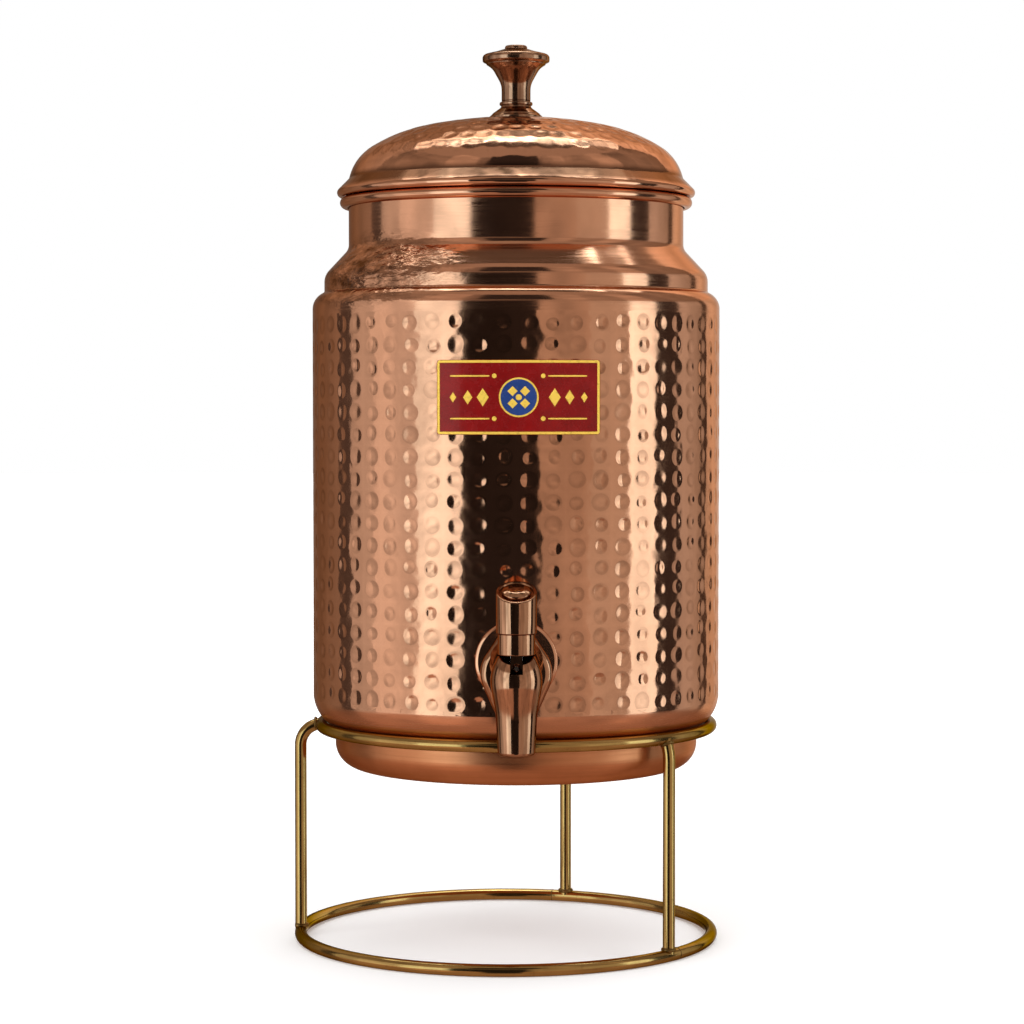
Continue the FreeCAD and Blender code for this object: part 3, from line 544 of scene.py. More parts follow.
def mark_tile():
    """One square cell with rings of a round mark in its middle, all 1 wide."""
    bm = bmesh.new()
    bmesh.ops.create_grid(bm, x_segments=MARK_SIDES // 4, y_segments=MARK_SIDES // 4, size=0.5)
    border = [e for e in bm.edges if e.is_boundary]
    bmesh.ops.delete(bm, geom=list(bm.faces), context="FACES_ONLY")
    bmesh.ops.delete(bm, geom=[e for e in bm.edges if e not in border], context="EDGES")
    bmesh.ops.delete(bm, geom=[v for v in bm.verts if not v.link_edges], context="VERTS")
    ring = list(bm.edges)
    for ratio in (*MARK_RINGS, 0.0):
        made = bmesh.ops.extrude_edge_only(bm, edges=ring)["geom"]
        for vert in verts_in(made):
            vert.co = vert.co.normalized() * ratio
        ring = edges_within(made, verts_in(made))
    bmesh.ops.remove_doubles(bm, verts=bm.verts, dist=1e-5)
    bmesh.ops.recalc_face_normals(bm, faces=bm.faces)
    if sum(f.normal.z for f in bm.faces) < 0:
        bmesh.ops.reverse_faces(bm, faces=bm.faces)
    return to_mesh("mark tile", bm)


def mark_depth(share):
    """Depth of a round hammer mark at a share of its radius, with a soft rim."""
    return np.clip(1.0 - share ** 2, 0, 1) ** 1.2


def mark_tarnish_and_shade(share):
    """How much tarnish and painted shade a place in a mark gets: most near the rim, a little in the bowl."""
    return np.clip(np.exp(-((share - 0.86) / 0.17) ** 2) + 0.18 * (share < 0.6), 0, 1)


def hammered_wall(settings):
    """The jar's straight wall, with one cell of the mesh for each hammer mark."""
    marks, rows = settings.marks_round, settings.rows
    pitch_round = math.tau * BODY_RADIUS / marks
    pitch_up = (settings.high - settings.low) / rows
    scale = settings.mark_radius / MARK_RIM
    bm = bmesh.new()
    bm.from_mesh(mark_tile())
    tarnish_and_shade_layer = bm.verts.layers.float.new("mark")
    for count, step in ((rows, Vector((0, 1, 0))), (marks, Vector((1, 0, 0)))):
        first = everything(bm)
        for k in range(1, count):
            made = bmesh.ops.duplicate(bm, geom=first)["geom"]
            move(bm, verts_in(made), step * k)
    bmesh.ops.remove_doubles(bm, verts=[v for v in bm.verts if v.is_boundary], dist=1e-4)
    bm.verts.ensure_lookup_table()
    place = np.array([v.co[:] for v in bm.verts])
    cell = tuple(np.clip(np.round(place[:, k]).astype(int), 0, limit - 1) for k, limit in ((0, marks), (1, rows)))
    local = place[:, :2] - np.stack(cell, 1)
    away = np.hypot(local[:, 0], local[:, 1])
    in_mark = away < MARK_RINGS[0] + 1e-3

    # Each mark's own size, squash, place, depth and lean, and how strong its tarnish and painted shade are
    rng = np.random.default_rng(settings.seed)
    size = rng.uniform(0.80, 1.12, (marks, rows))
    squash = rng.uniform(0.93, 1.07, (marks, rows))
    room = 0.48 * pitch_up - scale * MARK_RINGS[0] * size * 1.07
    shift = rng.uniform(-1, 1, (marks, rows, 2)) * np.clip(room, 0, settings.wander)[..., None]
    deep = rng.uniform(0.45, 1.35, (marks, rows))
    lean = rng.uniform(-0.45, 0.45, (marks, rows, 2))
    old = rng.uniform(0.45, 1.0, (marks, rows))
    size, squash, shift, deep, lean, old = (a[cell] for a in (size, squash, shift, deep, lean, old))

    def laid(axis, pitch, stretch):
        inside = local[:, axis] * scale * stretch + shift[:, axis]
        return cell[axis] * pitch + np.where(in_mark, inside, local[:, axis] * pitch)

    angle = (laid(0, pitch_round, size * squash) - pitch_round / 2) / BODY_RADIUS
    height = settings.low + pitch_up / 2 + laid(1, pitch_up, size / squash)
    share = away / MARK_RIM
    skew = 1.0 + (local[:, 0] * lean[:, 0] + local[:, 1] * lean[:, 1]) / MARK_RIM
    radius = BODY_RADIUS - np.where(in_mark, settings.mark_depth * deep * mark_depth(share) * skew, 0)
    # Tarnish and painted shade: a darker rim round each mark outlines it in colour
    tarnish = np.where(in_mark, mark_tarnish_and_shade(share) * old, 0)
    for vert, r, a, h, t in zip(bm.verts, radius, angle, height, tarnish):
        vert.co = (r * math.sin(a), -r * math.cos(a), h)
        vert[tarnish_and_shade_layer] = t
    return bm


def jar_wall(settings):
    """The whole spun jar: hammered wall, smooth shoulder, neck, rolled mouth and the inside."""
    bm = hammered_wall(settings)
    marked = set(bm.faces)
    points = [(r, z + JAR_LIFT) for r, z in walk(JAR_LINE, turn=math.radians(6))[0]]
    inner = [(r, z + JAR_LIFT) for r, z in inset_line(*walk(JAR_LINE, turn=math.radians(24)), WALL)]
    bead = (BEAD[0], BEAD[1] + JAR_LIFT)
    split = max(i for i, p in enumerate(points) if p[1] < 0.2)
    above = [(BODY_RADIUS, settings.high)] + points[split + 1:]
    rolled = curl(bead, BEAD_INNER, math.pi, -BEAD_SWEEP, 8)[1:]
    back = curl(bead, BEAD_OUTER, math.pi - BEAD_SWEEP, BEAD_SWEEP, 20)
    below = points[:split + 1] + [(BODY_RADIUS, settings.low)]
    spin(bm, above + rolled + back + inner[::-1][1:] + below, settings.marks_round * 4)
    bmesh.ops.remove_doubles(bm, verts=[v for v in bm.verts if v.is_boundary], dist=2e-6)
    skins = ["hammered", "brushed", "fading"]
    for face in bm.faces:
        low = face.calc_center_median().z < settings.low
        face.material_index = skins.index("hammered" if face in marked else "fading" if low else "brushed")
    settle("jar wall", bm, [MATERIALS[skin] for skin in skins], "jar", ["jar_body"], 50)


def base_pan():
    points, normals = walk(PAN_LINE, turn=math.radians(4))
    chain = [(r, z + JAR_LIFT) for r, z in points + inset_line(points, normals, WALL)[::-1]]
    settle("base pan", turned_part(chain, 160), MATERIALS["satin"], "jar", ["jar_base_pan"])


def rim_wire():
    circle = curl((BEAD[0], BEAD[1] + JAR_LIFT), 0.00155, 0, math.tau, 12)[:-1]
    settle("rim wire", turned_part(circle, 160, closed=True), MATERIALS["wire"], "jar", ["jar_rim_wire"])


# Lid. Lines are above the dome's lowest edge, the knob's above its foot.

LID_WALL = 0.001
DOME_LINE = ((0.00275, 0.03905), (0.02271, 0.03905, 0.225), (0.05831, 0.03196, 0.078), (0.07941, 0.01951, 0.0235),
             (0.08201, 0.00901, 0.003), (0.08726, 0.00376))
EDGE = (0.0857, 0.0022)  # middle of the dome's rolled edge
CREASE_SHADE_HEIGHTS = (0.0035, 0.0052, 0.0095, 0.0115)  # heights between which painted shade darkens the flare's crease
COLLAR_LINE = ((0.0803, -0.011), (0.0803, 0.0114, 0.003), (0.0784, 0.0156))
KNOB_LINE = (
    (0.0025, 0.0145), (0.0025, 0.001), (0.01, 0.001), (0.01, 0.0), (0.013, 0.0), (0.013, 0.001, 0.0005),
    (0.0119, 0.0019, 0.0003), (0.0116, 0.0024, 0.0003), (0.0073, 0.0055, 0.0018), (0.0073, 0.0064),
    (0.0081, 0.0064, 0.0005), (0.0081, 0.008, 0.0005), (0.0071, 0.008), (0.0071, 0.0084), (0.0068, 0.0086),
    (0.0071, 0.0088), (0.0071, 0.0165, 0.01), (0.0116, 0.0245, 0.008), (0.0146, 0.02645, 0.0003),
    (0.0145, 0.02685, 0.0002), (0.01645, 0.0278, 0.0008), (0.0165, 0.031, 0.0019), (0.0121, 0.03215, 0.0004),
    (0.0118, 0.0321, 0.0003), (0.0055, 0.0341, 0.0004), (0.0054, 0.0356, 0.001), (0.0, 0.0363))


def dome_marks(points, rng):
    """Rows of hammer marks on the dome: place, radius and depth of each, fading out towards the edge."""
    along, step, pitch, radius, depth = 0.0145, 0.0078, 0.0086, 0.0039, 0.00058
    lengths = [0.0]
    for a, b in zip(points, points[1:]):
        lengths.append(lengths[-1] + math.dist(a, b))
    marks = []
    while along < 0.079:
        r = np.interp(along, lengths, [p[0] for p in points])
        z = np.interp(along, lengths, [p[1] for p in points]) + LID_LIFT
        count = max(6, round(math.tau * r / pitch))
        first = rng.uniform(0, math.tau)
        for k in range(count):
            a = first + math.tau * (k + rng.uniform(-0.12, 0.12)) / count
            fade = 1.0 if along < 0.062 else max(0.15, (0.082 - along) / 0.02)
            marks.append((r * math.cos(a), r * math.sin(a), z + rng.uniform(-0.0004, 0.0004),
                          radius * rng.uniform(0.8, 1.15), depth * rng.uniform(0.35, 1.25) * fade))
        along += step * rng.uniform(0.94, 1.06)
    return marks


def dome(settings):
    """Hammered dome with its flare and rolled edge, and its inner face."""
    points, normals = walk(DOME_LINE, side=-1, turn=math.radians(2.5), longest=0.00115)
    keep = 1 + max(i for i, (a, b) in enumerate(zip(points, points[1:])) if b[0] <= points[0][0])
    points, normals = [points[0]] + points[keep + 1:], [normals[0]] + normals[keep + 1:]
    inner = inset_line(points, normals, LID_WALL)
    start, sweep = math.radians(45), math.radians(235)
    roll = curl(EDGE, 0.0022, start, -sweep, 22)[1:]
    back = curl(EDGE, 0.0012, start - sweep, sweep, 16)
    coarse = inner[::-1][1::4] + [inner[0]]
    bm = bmesh.new()
    tarnish_and_shade_layer = bm.verts.layers.float.new("mark")
    spin(bm, [(r, z + LID_LIFT) for r, z in points + roll + back + coarse], 360)
    marks = dome_marks(points, np.random.default_rng(settings.seed + 4))
    bm.verts.ensure_lookup_table()
    bm.normal_update()
    place = np.array([v.co[:] for v in bm.verts])
    radial = np.hypot(place[:, 0], place[:, 1])
    top = np.interp(radial, [p[0] for p in points], [p[1] + LID_LIFT for p in points])
    skin = np.where((np.abs(place[:, 2] - top) < 2e-5) & (radial < 0.0868))[0]
    sunk, tarnish = np.zeros(len(skin)), np.zeros(len(skin))
    # Tarnish and painted shade: darker rims outline the dome's marks in colour
    for x, y, z, size, deep in marks:
        share = np.linalg.norm(place[skin] - (x, y, z), axis=1) / size
        hit = share < 1
        sunk[hit] = np.maximum(sunk[hit], deep * mark_depth(share[hit]))
        tarnish[hit] = np.maximum(tarnish[hit], 0.7 * mark_tarnish_and_shade(share[hit]))
    # Painted shade: the band round the flare's crease is darkened in colour, through the same layer as the marks
    crease_shade = np.interp(place[skin, 2] - LID_LIFT, CREASE_SHADE_HEIGHTS, (0.0, 1.28, 1.28, 0.0))
    for index, depth, age in zip(skin, sunk, np.maximum(tarnish, crease_shade)):
        vert = bm.verts[index]
        vert.co -= vert.normal * (depth if vert.normal.z > 0 else -depth)
        vert[tarnish_and_shade_layer] = age
    settle("lid dome", bm, MATERIALS["hammered"], "lid", ["lid_shell"], 50)


def collar():
    points, normals = walk(COLLAR_LINE)
    chain = [(r, z + LID_LIFT) for r, z in points + inset_line(points, normals, LID_WALL)[::-1]]
    settle("lid collar", turned_part(chain, 160, closed=True), MATERIALS["brushed"], "lid", ["lid_collar"])


def knob():
    line = [(0, KNOB_LINE[0][1])] + walk(KNOB_LINE, turn=math.radians(9))[0]
    settle("lid knob", turned_part([(r, z + KNOB_FOOT) for r, z in line], 96), MATERIALS["bronze"], "lid",
           ["lid_knob"], 34)


# Label plate

PLATE = (0.0011, 0.2666, 0.0747, 0.0344, 0.0006)  # middle in x and z, width, height and thickness

def wrap(bm, lift=0.0):
    """Bends a flat ornament drawn in x and z round the jar, with y as its height above the wall."""
    for vert in bm.verts:
        angle = vert.co.x / BODY_RADIUS
        radius = BODY_RADIUS + lift + vert.co.y
        vert.co = (radius * math.sin(angle), -radius * math.cos(angle), vert.co.z)


def rounded_card(bm, wide, high, corner, thick, x, z, step=0.0016):
    """A flat card with rounded corners, cut up finely enough to bend."""
    verts = bmesh.ops.create_grid(bm, x_segments=max(1, round(wide / step)),
                                  y_segments=max(1, round(high / step)), size=0.5)["verts"]
    inner_x, inner_z = wide / 2 - corner, high / 2 - corner
    for vert in verts:
        px, pz = vert.co.x * wide, vert.co.y * high
        over_x, over_z = abs(px) - inner_x, abs(pz) - inner_z
        if over_x > 0 and over_z > 0:
            way = Vector((over_x, over_z)).normalized() * max(over_x, over_z)
            px, pz = math.copysign(inner_x + way.x, px), math.copysign(inner_z + way.y, pz)
        vert.co = (x + px, 0, z + pz)
    made = bmesh.ops.extrude_face_region(bm, geom=list({f for v in verts for f in v.link_faces}))["geom"]
    move(bm, verts_in(made), (0, thick, 0))


def band_loop(x, z, wide, high, corner, shrink, y):
    """Points round a rectangle with rounded corners, drawn inwards by a shrink."""
    w, h, c = wide - 2 * shrink, high - 2 * shrink, max(corner - shrink, 0.0002)
    corners = []
    for start, sx, sz in ((0, 1, 1), (90, -1, 1), (180, -1, -1), (270, 1, -1)):
        for k in range(5):
            a = math.radians(start + 22.5 * k)
            corners.append((x + sx * (w / 2 - c) + c * math.cos(a), y, z + sz * (h / 2 - c) + c * math.sin(a)))
    counts = {4: round(wide / 0.002), 9: round(high / 0.002), 14: round(wide / 0.002), 19: round(high / 0.002)}
    full = []
    for k, (a, b) in enumerate(zip(corners, corners[1:] + corners[:1])):
        count = counts.get(k, 1)
        full += [Vector([p + (q - p) * step / count for p, q in zip(a, b)]) for step in range(count)]
    return full


def frame_band(bm, wide, high, corner, broad, thick, x, z):
    """A thin raised rectangular band with rounded corners, drawn inwards from its outer edge."""
    places = band_loop(x, z, wide, high, corner, 0, 0)
    verts = [bm.verts.new(place) for place in places]
    edges = [bm.edges.new(pair) for pair in zip(verts, verts[1:] + verts[:1])]
    for shrink, y in ((broad * 0.15, thick), (broad * 0.85, thick), (broad, 0)):
        made = bmesh.ops.extrude_edge_only(bm, edges=edges)["geom"]
        fresh = verts_in(made)
        targets = band_loop(x, z, wide, high, corner, shrink, y)
        for vert in fresh:
            nearest = min(range(len(places)), key=lambda k: (places[k] - vert.co).length_squared)
            vert.co = targets[nearest]
        places = targets
        edges = edges_within(made, fresh)


def boss(bm, x, z, size, thick, sides, stretch=1.0, base=0.0):
    """A small raised lozenge or dot with a bevelled top."""
    verts = bmesh.ops.create_circle(bm, cap_ends=True, segments=sides, radius=size)["verts"]
    for vert in verts:
        a = math.atan2(vert.co.y, vert.co.x)
        vert.co = (x + size * math.cos(a) * stretch, base, z + size * math.sin(a))
    face = [f for v in verts for f in v.link_faces][0]
    for vert in verts_in(bmesh.ops.extrude_face_region(bm, geom=[face])["geom"]):
        vert.co = (x + (vert.co.x - x) * 0.82, base + thick, z + (vert.co.z - z) * 0.82)


def label_plate():
    """Bare generic plate: red enamel, gilt border, a blue medallion, and lozenges and lines at each side."""
    x, z, wide, high, thick = PLATE
    bend = BODY_RADIUS * math.asin(wide / 2 / BODY_RADIUS) * 2
    plate, gold, blue, star = (bmesh.new() for _ in range(4))
    rounded_card(plate, bend, high, 0.0012, thick, x, z)
    frame_band(gold, bend - 0.0004, high - 0.0004, 0.0012, 0.0012, 0.00022, x, z)
    for side in (-1, 1):
        for k, size in enumerate((0.0042, 0.0033, 0.0024)):
            boss(gold, x + side * (0.0165 + k * 0.0070), z, size, 0.0002, 4, 0.66)
        for up in (-1, 1):
            rounded_card(gold, 0.0185, 0.0007, 0.0003, 0.00016, x + side * 0.0226, z + up * 0.0098, 0.0018)
            boss(gold, x + side * 0.0112, z + up * 0.0098, 0.0011, 0.0002, 12)
    boss(gold, x, z, 0.0091, 0.00016, 40)
    boss(blue, x, z, 0.0083, 0.00012, 40, base=0.00016)
    for k in range(4):
        a = math.tau * k / 4 + math.pi / 4
        boss(star, x + 0.0040 * math.cos(a), z + 0.0040 * math.sin(a), 0.0023, 0.00018, 4, base=0.00028)
    boss(star, x, z, 0.0014, 0.00018, 16, base=0.00028)
    wrap(plate)
    settle("label plate", plate, MATERIALS["enamel"], "jar", ["badge_plate"])
    for name, bm, material in (("label gilding", gold, "gilt"), ("label field", blue, "blue"),
                               ("label lozenges", star, "gilt")):
        wrap(bm, thick)
        settle(name, bm, MATERIALS[material], "jar", (), 25)


# Stand

TOP_RADIUS, TOP_HEIGHT, TOP_CENTRE = 0.0962, 0.1055, (0, 0)
BASE_RADIUS, BASE_HEIGHT, BASE_CENTRE = 0.1015, 0.0027, (-0.005, -0.0015)
TOP_RING, BASE_RING = (TOP_RADIUS, TOP_HEIGHT, TOP_CENTRE), (BASE_RADIUS, BASE_HEIGHT, BASE_CENTRE)
SEAMS = ((TOP_RING, -47.0), (BASE_RING, -37.0), (BASE_RING, 76.0), (TOP_RING, 150.0))  # ring and angle
RING_TUBE, LEG_TUBE = 0.00296, 0.0029
LEGS = (("left", 181.0, 90.0), ("right", -40.5, 27.0), ("back", 72.0, 27.0))  # angle on the ring, bend at the top


def wire_ring(name, radius, height, centre, node):
    bm = turned_part(curl((radius, height), RING_TUBE, 0, math.tau, 28)[:-1], 220, closed=True)
    for vert in bm.verts:
        vert.co = (vert.co.x + centre[0], vert.co.y + centre[1], max(vert.co.z, 0.0))
    settle(name, bm, MATERIALS["wire"], "stand", [node])


def leg(side, angle, tilt):
    """One bent wire from the base ring's line up to the top ring's line."""
    foot = Vector((BASE_CENTRE[0] + BASE_RADIUS * math.cos(angle), BASE_CENTRE[1] + BASE_RADIUS * math.sin(angle),
                   BASE_HEIGHT))
    azimuth = math.atan2(foot.y, foot.x)
    bend = (math.hypot(foot.x, foot.y) - TOP_RADIUS) / (1 - math.cos(tilt))
    straight = TOP_HEIGHT - BASE_HEIGHT - bend * math.sin(tilt)
    bm = bmesh.new()
    bmesh.ops.create_circle(bm, segments=24, radius=LEG_TUBE)
    made = bmesh.ops.extrude_edge_only(bm, edges=list(bm.edges))["geom"]
    verts = verts_in(made)
    move(bm, verts, (0, 0, straight))
    bmesh.ops.spin(bm, geom=verts + edges_within(made, verts), axis=(0, -1, 0), cent=(-bend, 0, straight),
                   dvec=(0, 0, 0), angle=tilt, steps=max(6, round(math.degrees(tilt) / 5)))
    bmesh.ops.subdivide_edges(bm, edges=[e for e in bm.edges if e.calc_length() > 0.05], cuts=10)
    rotate(bm, bm.verts, azimuth, "Z")
    move(bm, bm.verts, foot)
    settle(f"{side} leg wire", bm, MATERIALS["wire"], "stand", [f"stand_leg_{side}"])
    return foot, azimuth


def collar_of_braze(bm, centre, axis, radius, tube, seed):
    """A lumpy ring of filler round a joint."""
    before = len(bm.verts)
    made = bmesh.ops.create_circle(bm, segments=10, radius=tube)["verts"]
    edges = list({e for v in made for e in v.link_edges})
    rotate(bm, made, math.radians(90), "X")
    move(bm, made, (radius, 0, 0))
    bmesh.ops.spin(bm, geom=made + edges, axis=(0, 0, 1), cent=(0, 0, 0), dvec=(0, 0, 0), angle=math.tau,
                   steps=28, use_merge=True)
    rng = random.Random(seed)
    swell = [rng.uniform(0.75, 1.35) for _ in range(9)]
    turn = Vector((0, 0, 1)).rotation_difference(Vector(axis)).to_matrix()
    for vert in list(bm.verts)[before:]:
        a = (math.atan2(vert.co.y, vert.co.x) % math.tau) / math.tau * 9
        low, part = int(a) % 9, a - int(a)
        size = swell[low] * (1 - part) + swell[(low + 1) % 9] * part
        out = Vector((vert.co.x, vert.co.y, 0)).normalized() * radius
        vert.co = Vector(centre) + turn @ (out + (vert.co - out) * size)


def stand():
    """Two rings, three legs, and the filler at the legs' ends and at the rings' butt seams."""
    wire_ring("top ring wire", *TOP_RING, "stand_top_ring")
    wire_ring("base ring wire", *BASE_RING, "stand_base_ring")
    filler = bmesh.new()
    for number, (side, angle, tilt) in enumerate(LEGS):
        lean = math.radians(tilt)
        foot, azimuth = leg(side, math.radians(angle), lean)
        collar_of_braze(filler, (foot.x, foot.y, 0.0056), (0, 0, 1), 0.0028, 0.0009, number)
        out = Vector((math.cos(azimuth), math.sin(azimuth), 0))
        along = Vector((0, 0, math.cos(lean))) - out * math.sin(lean)
        end = out * TOP_RADIUS + Vector((0, 0, TOP_HEIGHT)) - along * LEG_TUBE
        collar_of_braze(filler, end, along, 0.0027, 0.0008, number + 7)
    for (radius, height, centre), angle in SEAMS:
        a = math.radians(angle)
        spot = (centre[0] + radius * math.cos(a), centre[1] + radius * math.sin(a), height)
        collar_of_braze(filler, spot, (-math.sin(a), math.cos(a), 0), 0.00285, 0.00028, int(angle))
    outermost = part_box("stand_base_ring")[0][0]
    for vert in filler.verts:
        vert.co.x = max(vert.co.x, outermost)
        vert.co.z = max(vert.co.z, 0.0)
    settle("braze beads", filler, MATERIALS["braze"], "stand", (), 60)


# Tap. Drawn round the spout's axis at the height of the valve, then moved into place.

BULB_LINE = ((0.0, 0.0054), (0.0084, 0.0054, 0.0005), (0.0126, -0.0035, 0.019), (0.0094, -0.0205, 0.06),
             (0.0084, -0.0394, 0.0016), (0.0061, -0.0394, 0.0006), (0.0055, -0.0385), (0.0055, -0.015),
             (0.0084, -0.010), (0.0084, 0.0024), (0.0, 0.0024))
CUP_BORE = ((0, 0.0), (0.0056, 0.0), (0.0056, 0.0150), (0, 0.0150))  # room for the seat's cup to travel
SWING_ROOM = ((0, 0.0054), (0.00955, 0.0054), (0.00955, 0.02), (0, 0.02))  # room for the handle's collar
HUB_LINE = ((0.0, 0.0135), (-0.0075, 0.0135, 0.003), (-0.0186, -0.0033, 0.015), (-0.0084, -0.026, 0.004),
            (0.0084, -0.026, 0.004), (0.0186, -0.0033, 0.015), (0.0075, 0.0135, 0.003), (0.0, 0.0135))
HUB_BACK, HUB_DEEP, HUB_EDGE = 0.0288, 0.009, 0.0035
BARREL_LINE = ((0.0105, 0.0045), (0.0105, 0.0165, 0.0015), (0.0125, 0.0205, 0.001))
ROSETTE_LINE = ((0.008, 0.0288), (0.0176, 0.0288, 0.0006), (0.019, 0.0294, 0.0008), (0.019, 0.0308), (0.008, 0.0308))
HANDLE_LINE = ((0.0, 0.0058), (0.00845, 0.0058, 0.0005), (0.00845, 0.01505, 0.0001), (0.00805, 0.0153),
               (0.00915, 0.01555, 0.0003), (0.00915, 0.028))
HANDLE_RIM = (0.0297, 0.0386)  # heights of the slanted rim at its front and back
RIM_STEPS = ((0.00008, -0.00028), (0.0002, -0.0001), (0.0003, 0.0), (0.00075, 0.0), (0.0001, -0.00012),
             (0.00012, -0.001), (0.0004, -0.001))  # inwards, and height against the rim
BUTTON_LINE = ((0.0, 0.0), (0.0062, 0.0, 0.0002), (0.0066, 0.0008, 0.0003), (0.0064, 0.0016, 0.0008),
               (0.0042, 0.0026, 0.004), (0.0, 0.00305))
TANG = ((-0.0026, -0.002, -0.0069), (0.0026, 0.002, 0.0068))  # lowest and highest corner
NOTCH = ((-0.00285, -0.02, -0.0022), (0.00285, 0.0023, 0.02))  # room for the tang to swing


def block(bm, low, high):
    verts = bmesh.ops.create_cube(bm, size=1.0)["verts"]
    for vert in verts:
        vert.co = [a + (b - a) * (c + 0.5) for a, b, c in zip(low, high, vert.co)]
    return verts


def tap_bulb():
    """Bulb and spout as one turned shell, with the notch, the sloped front and the cup's bore cut away."""
    bm = turned_part(walk(BULB_LINE, turn=math.radians(3), longest=0.002)[0], 96)
    bmesh.ops.recalc_face_normals(bm, faces=bm.faces)
    bulb = loose("tap bulb", bm)
    notch, slope = bmesh.new(), bmesh.new()
    block(notch, *NOTCH)
    rotate(slope, block(slope, (-0.03, -0.03, 0.01), (0.03, 0.03, 0.04)), math.radians(25), "X")
    move(slope, slope.verts, (0, 0, -0.0045))
    bore = turned_part(CUP_BORE, 48)
    face_back(bore, bore.verts)
    bmesh.ops.recalc_face_normals(bore, faces=bore.faces)
    cut(bulb, loose("notch", notch), loose("slope", slope), loose("bore", bore))
    return bulb


def tap_hub():
    """Teardrop pad against the rosette, with a rolled front edge, and the barrel that carries the bulb."""
    bm = bmesh.new()
    outline = walk(HUB_LINE, turn=math.radians(5), longest=0.002)[0][:-1]
    verts = [bm.verts.new((x, HUB_BACK, z)) for x, z in outline]
    ring = [bm.edges.new(pair) for pair in zip(verts, verts[1:] + verts[:1])]
    loops = [(HUB_DEEP - HUB_EDGE, 0.0)]
    for k in range(1, 9):
        a = math.radians(90 * k / 8)
        loops.append((HUB_DEEP - HUB_EDGE + HUB_EDGE * math.sin(a), HUB_EDGE * (1 - math.cos(a))))
    loops.append((HUB_DEEP, 0.0065))
    sides = []
    for (x0, z0), (x1, z1) in zip(outline[-1:] + outline[:-1], outline[1:] + outline[:1]):
        way = Vector((x1 - x0, z1 - z0)).normalized()
        sides.append(Vector((-way.y, way.x)))
    if sides[0].y > 0:
        sides = [-s for s in sides]
    previous = ring
    for forward, inward in loops:
        fresh = [bm.verts.new((x + s.x * inward, HUB_BACK - forward, z + s.y * inward))
                 for (x, z), s in zip(outline, sides)]
        edges = [bm.edges.new(pair) for pair in zip(fresh, fresh[1:] + fresh[:1])]
        bmesh.ops.bridge_loops(bm, edges=previous + edges)
        previous = edges
    bmesh.ops.holes_fill(bm, edges=previous, sides=0)
    bmesh.ops.holes_fill(bm, edges=ring, sides=0)
    face_back(bm, spin(bm, walk(BARREL_LINE, turn=math.radians(9))[0], 64))
    hub = loose("tap hub", bm)
    swing = turned_part(SWING_ROOM, 64)
    bmesh.ops.recalc_face_normals(swing, faces=swing.faces)
    cut(hub, loose("swing", swing))
    return hub


def tap_body():
    bm = bmesh.new()
    for part in (tap_bulb(), tap_hub()):
        bm.from_mesh(part.data)
        bpy.data.objects.remove(part)
    move(bm, bm.verts, (0, TAP_Y, TAP_Z))
    settle("tap barrel", bm, MATERIALS["plated"], "jar", ["tap_body"], 34)


def spring():
    """Coil round the valve's stem, squeezed towards its seat in the shank when the lever tips."""
    low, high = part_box("return_spring")
    wire, turns, steps = 0.0003, 5, 36
    whole, middle = high[1] - low[1], (low[2] + high[2]) / 2
    bm = bmesh.new()
    made = bmesh.ops.create_circle(bm, segments=14, radius=wire)["verts"]
    move(bm, made, ((high[0] - low[0]) / 2 - wire, 0, 0))
    bmesh.ops.spin(bm, geom=made + list(bm.edges), axis=(0, 1, 0), cent=(0, 0, 0),
                   dvec=(0, (whole - 2 * wire) / (turns * steps), 0), angle=math.tau * turns, steps=turns * steps)
    bmesh.ops.holes_fill(bm, edges=[e for e in bm.edges if e.is_boundary], sides=0)
    move(bm, bm.verts, (0, low[1] + wire, middle))
    coil = settle("valve spring", bm, MATERIALS["steel"], "jar", ["return_spring"], 60)
    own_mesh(coil)


def rosette():
    bm = turned_part(walk(ROSETTE_LINE, turn=math.radians(9))[0], 96, closed=True)
    face_back(bm, bm.verts)
    move(bm, bm.verts, (0, TAP_Y, TAP_Z))
    settle("tap rosette", bm, MATERIALS["brushed"], "jar", ["tap_flange"])


def handle():
    """Upright lever: collar, fine parting line, barrel with a slanted rim, the tang below and the button."""
    front, rear = HANDLE_RIM
    slope, middle = (rear - front) / (2 * HANDLE_LINE[-1][0]), (front + rear) / 2
    tilt = math.atan(slope)
    bm = turned_part(walk(HANDLE_LINE, turn=math.radians(9))[0], 72)
    rim = {v for v in bm.verts if v.co.z > 0.0279}
    edges = [e for e in bm.edges if set(e.verts) <= rim]
    for vert in rim:
        vert.co.z = middle + slope * vert.co.y - 0.0006
    for inward, up in RIM_STEPS:
        made = bmesh.ops.extrude_edge_only(bm, edges=edges)["geom"]
        for vert in verts_in(made):
            flat = Vector((vert.co.x, vert.co.y, 0))
            flat.length = flat.length - inward
            vert.co = (flat.x, flat.y, middle + slope * flat.y + up / math.cos(tilt))
        edges = edges_within(made, verts_in(made))
    bmesh.ops.holes_fill(bm, edges=edges, sides=0)
    foot = TANG[0][2]
    tang = block(bm, *TANG)
    bottom = [e for e in {e for v in tang for e in v.link_edges}
              if all(abs(v.co.z - foot) < 1e-6 for v in e.verts)
              and abs(e.verts[0].co.x - e.verts[1].co.x) > 1e-6]
    bmesh.ops.bevel(bm, geom=bottom, offset=0.0017, segments=5, profile=0.5, affect="EDGES", material=-1)
    move(bm, bm.verts, (0, TAP_Y, TAP_Z))
    settle("tap handle", bm, MATERIALS["plated"], "tap_lever", ["tap_handle"], 30)
    bm = turned_part(walk(BUTTON_LINE, turn=math.radians(6))[0], 64)
    move(bm, bm.verts, (0, 0, -0.001))
    rotate(bm, bm.verts, tilt, "X")
    move(bm, bm.verts, (0, TAP_Y, TAP_Z + middle))
    settle("handle button", bm, MATERIALS["plated"], "tap_lever", ["handle_button"])


# Stage. Angles are round the object from the camera's side, right is plus, in degrees.

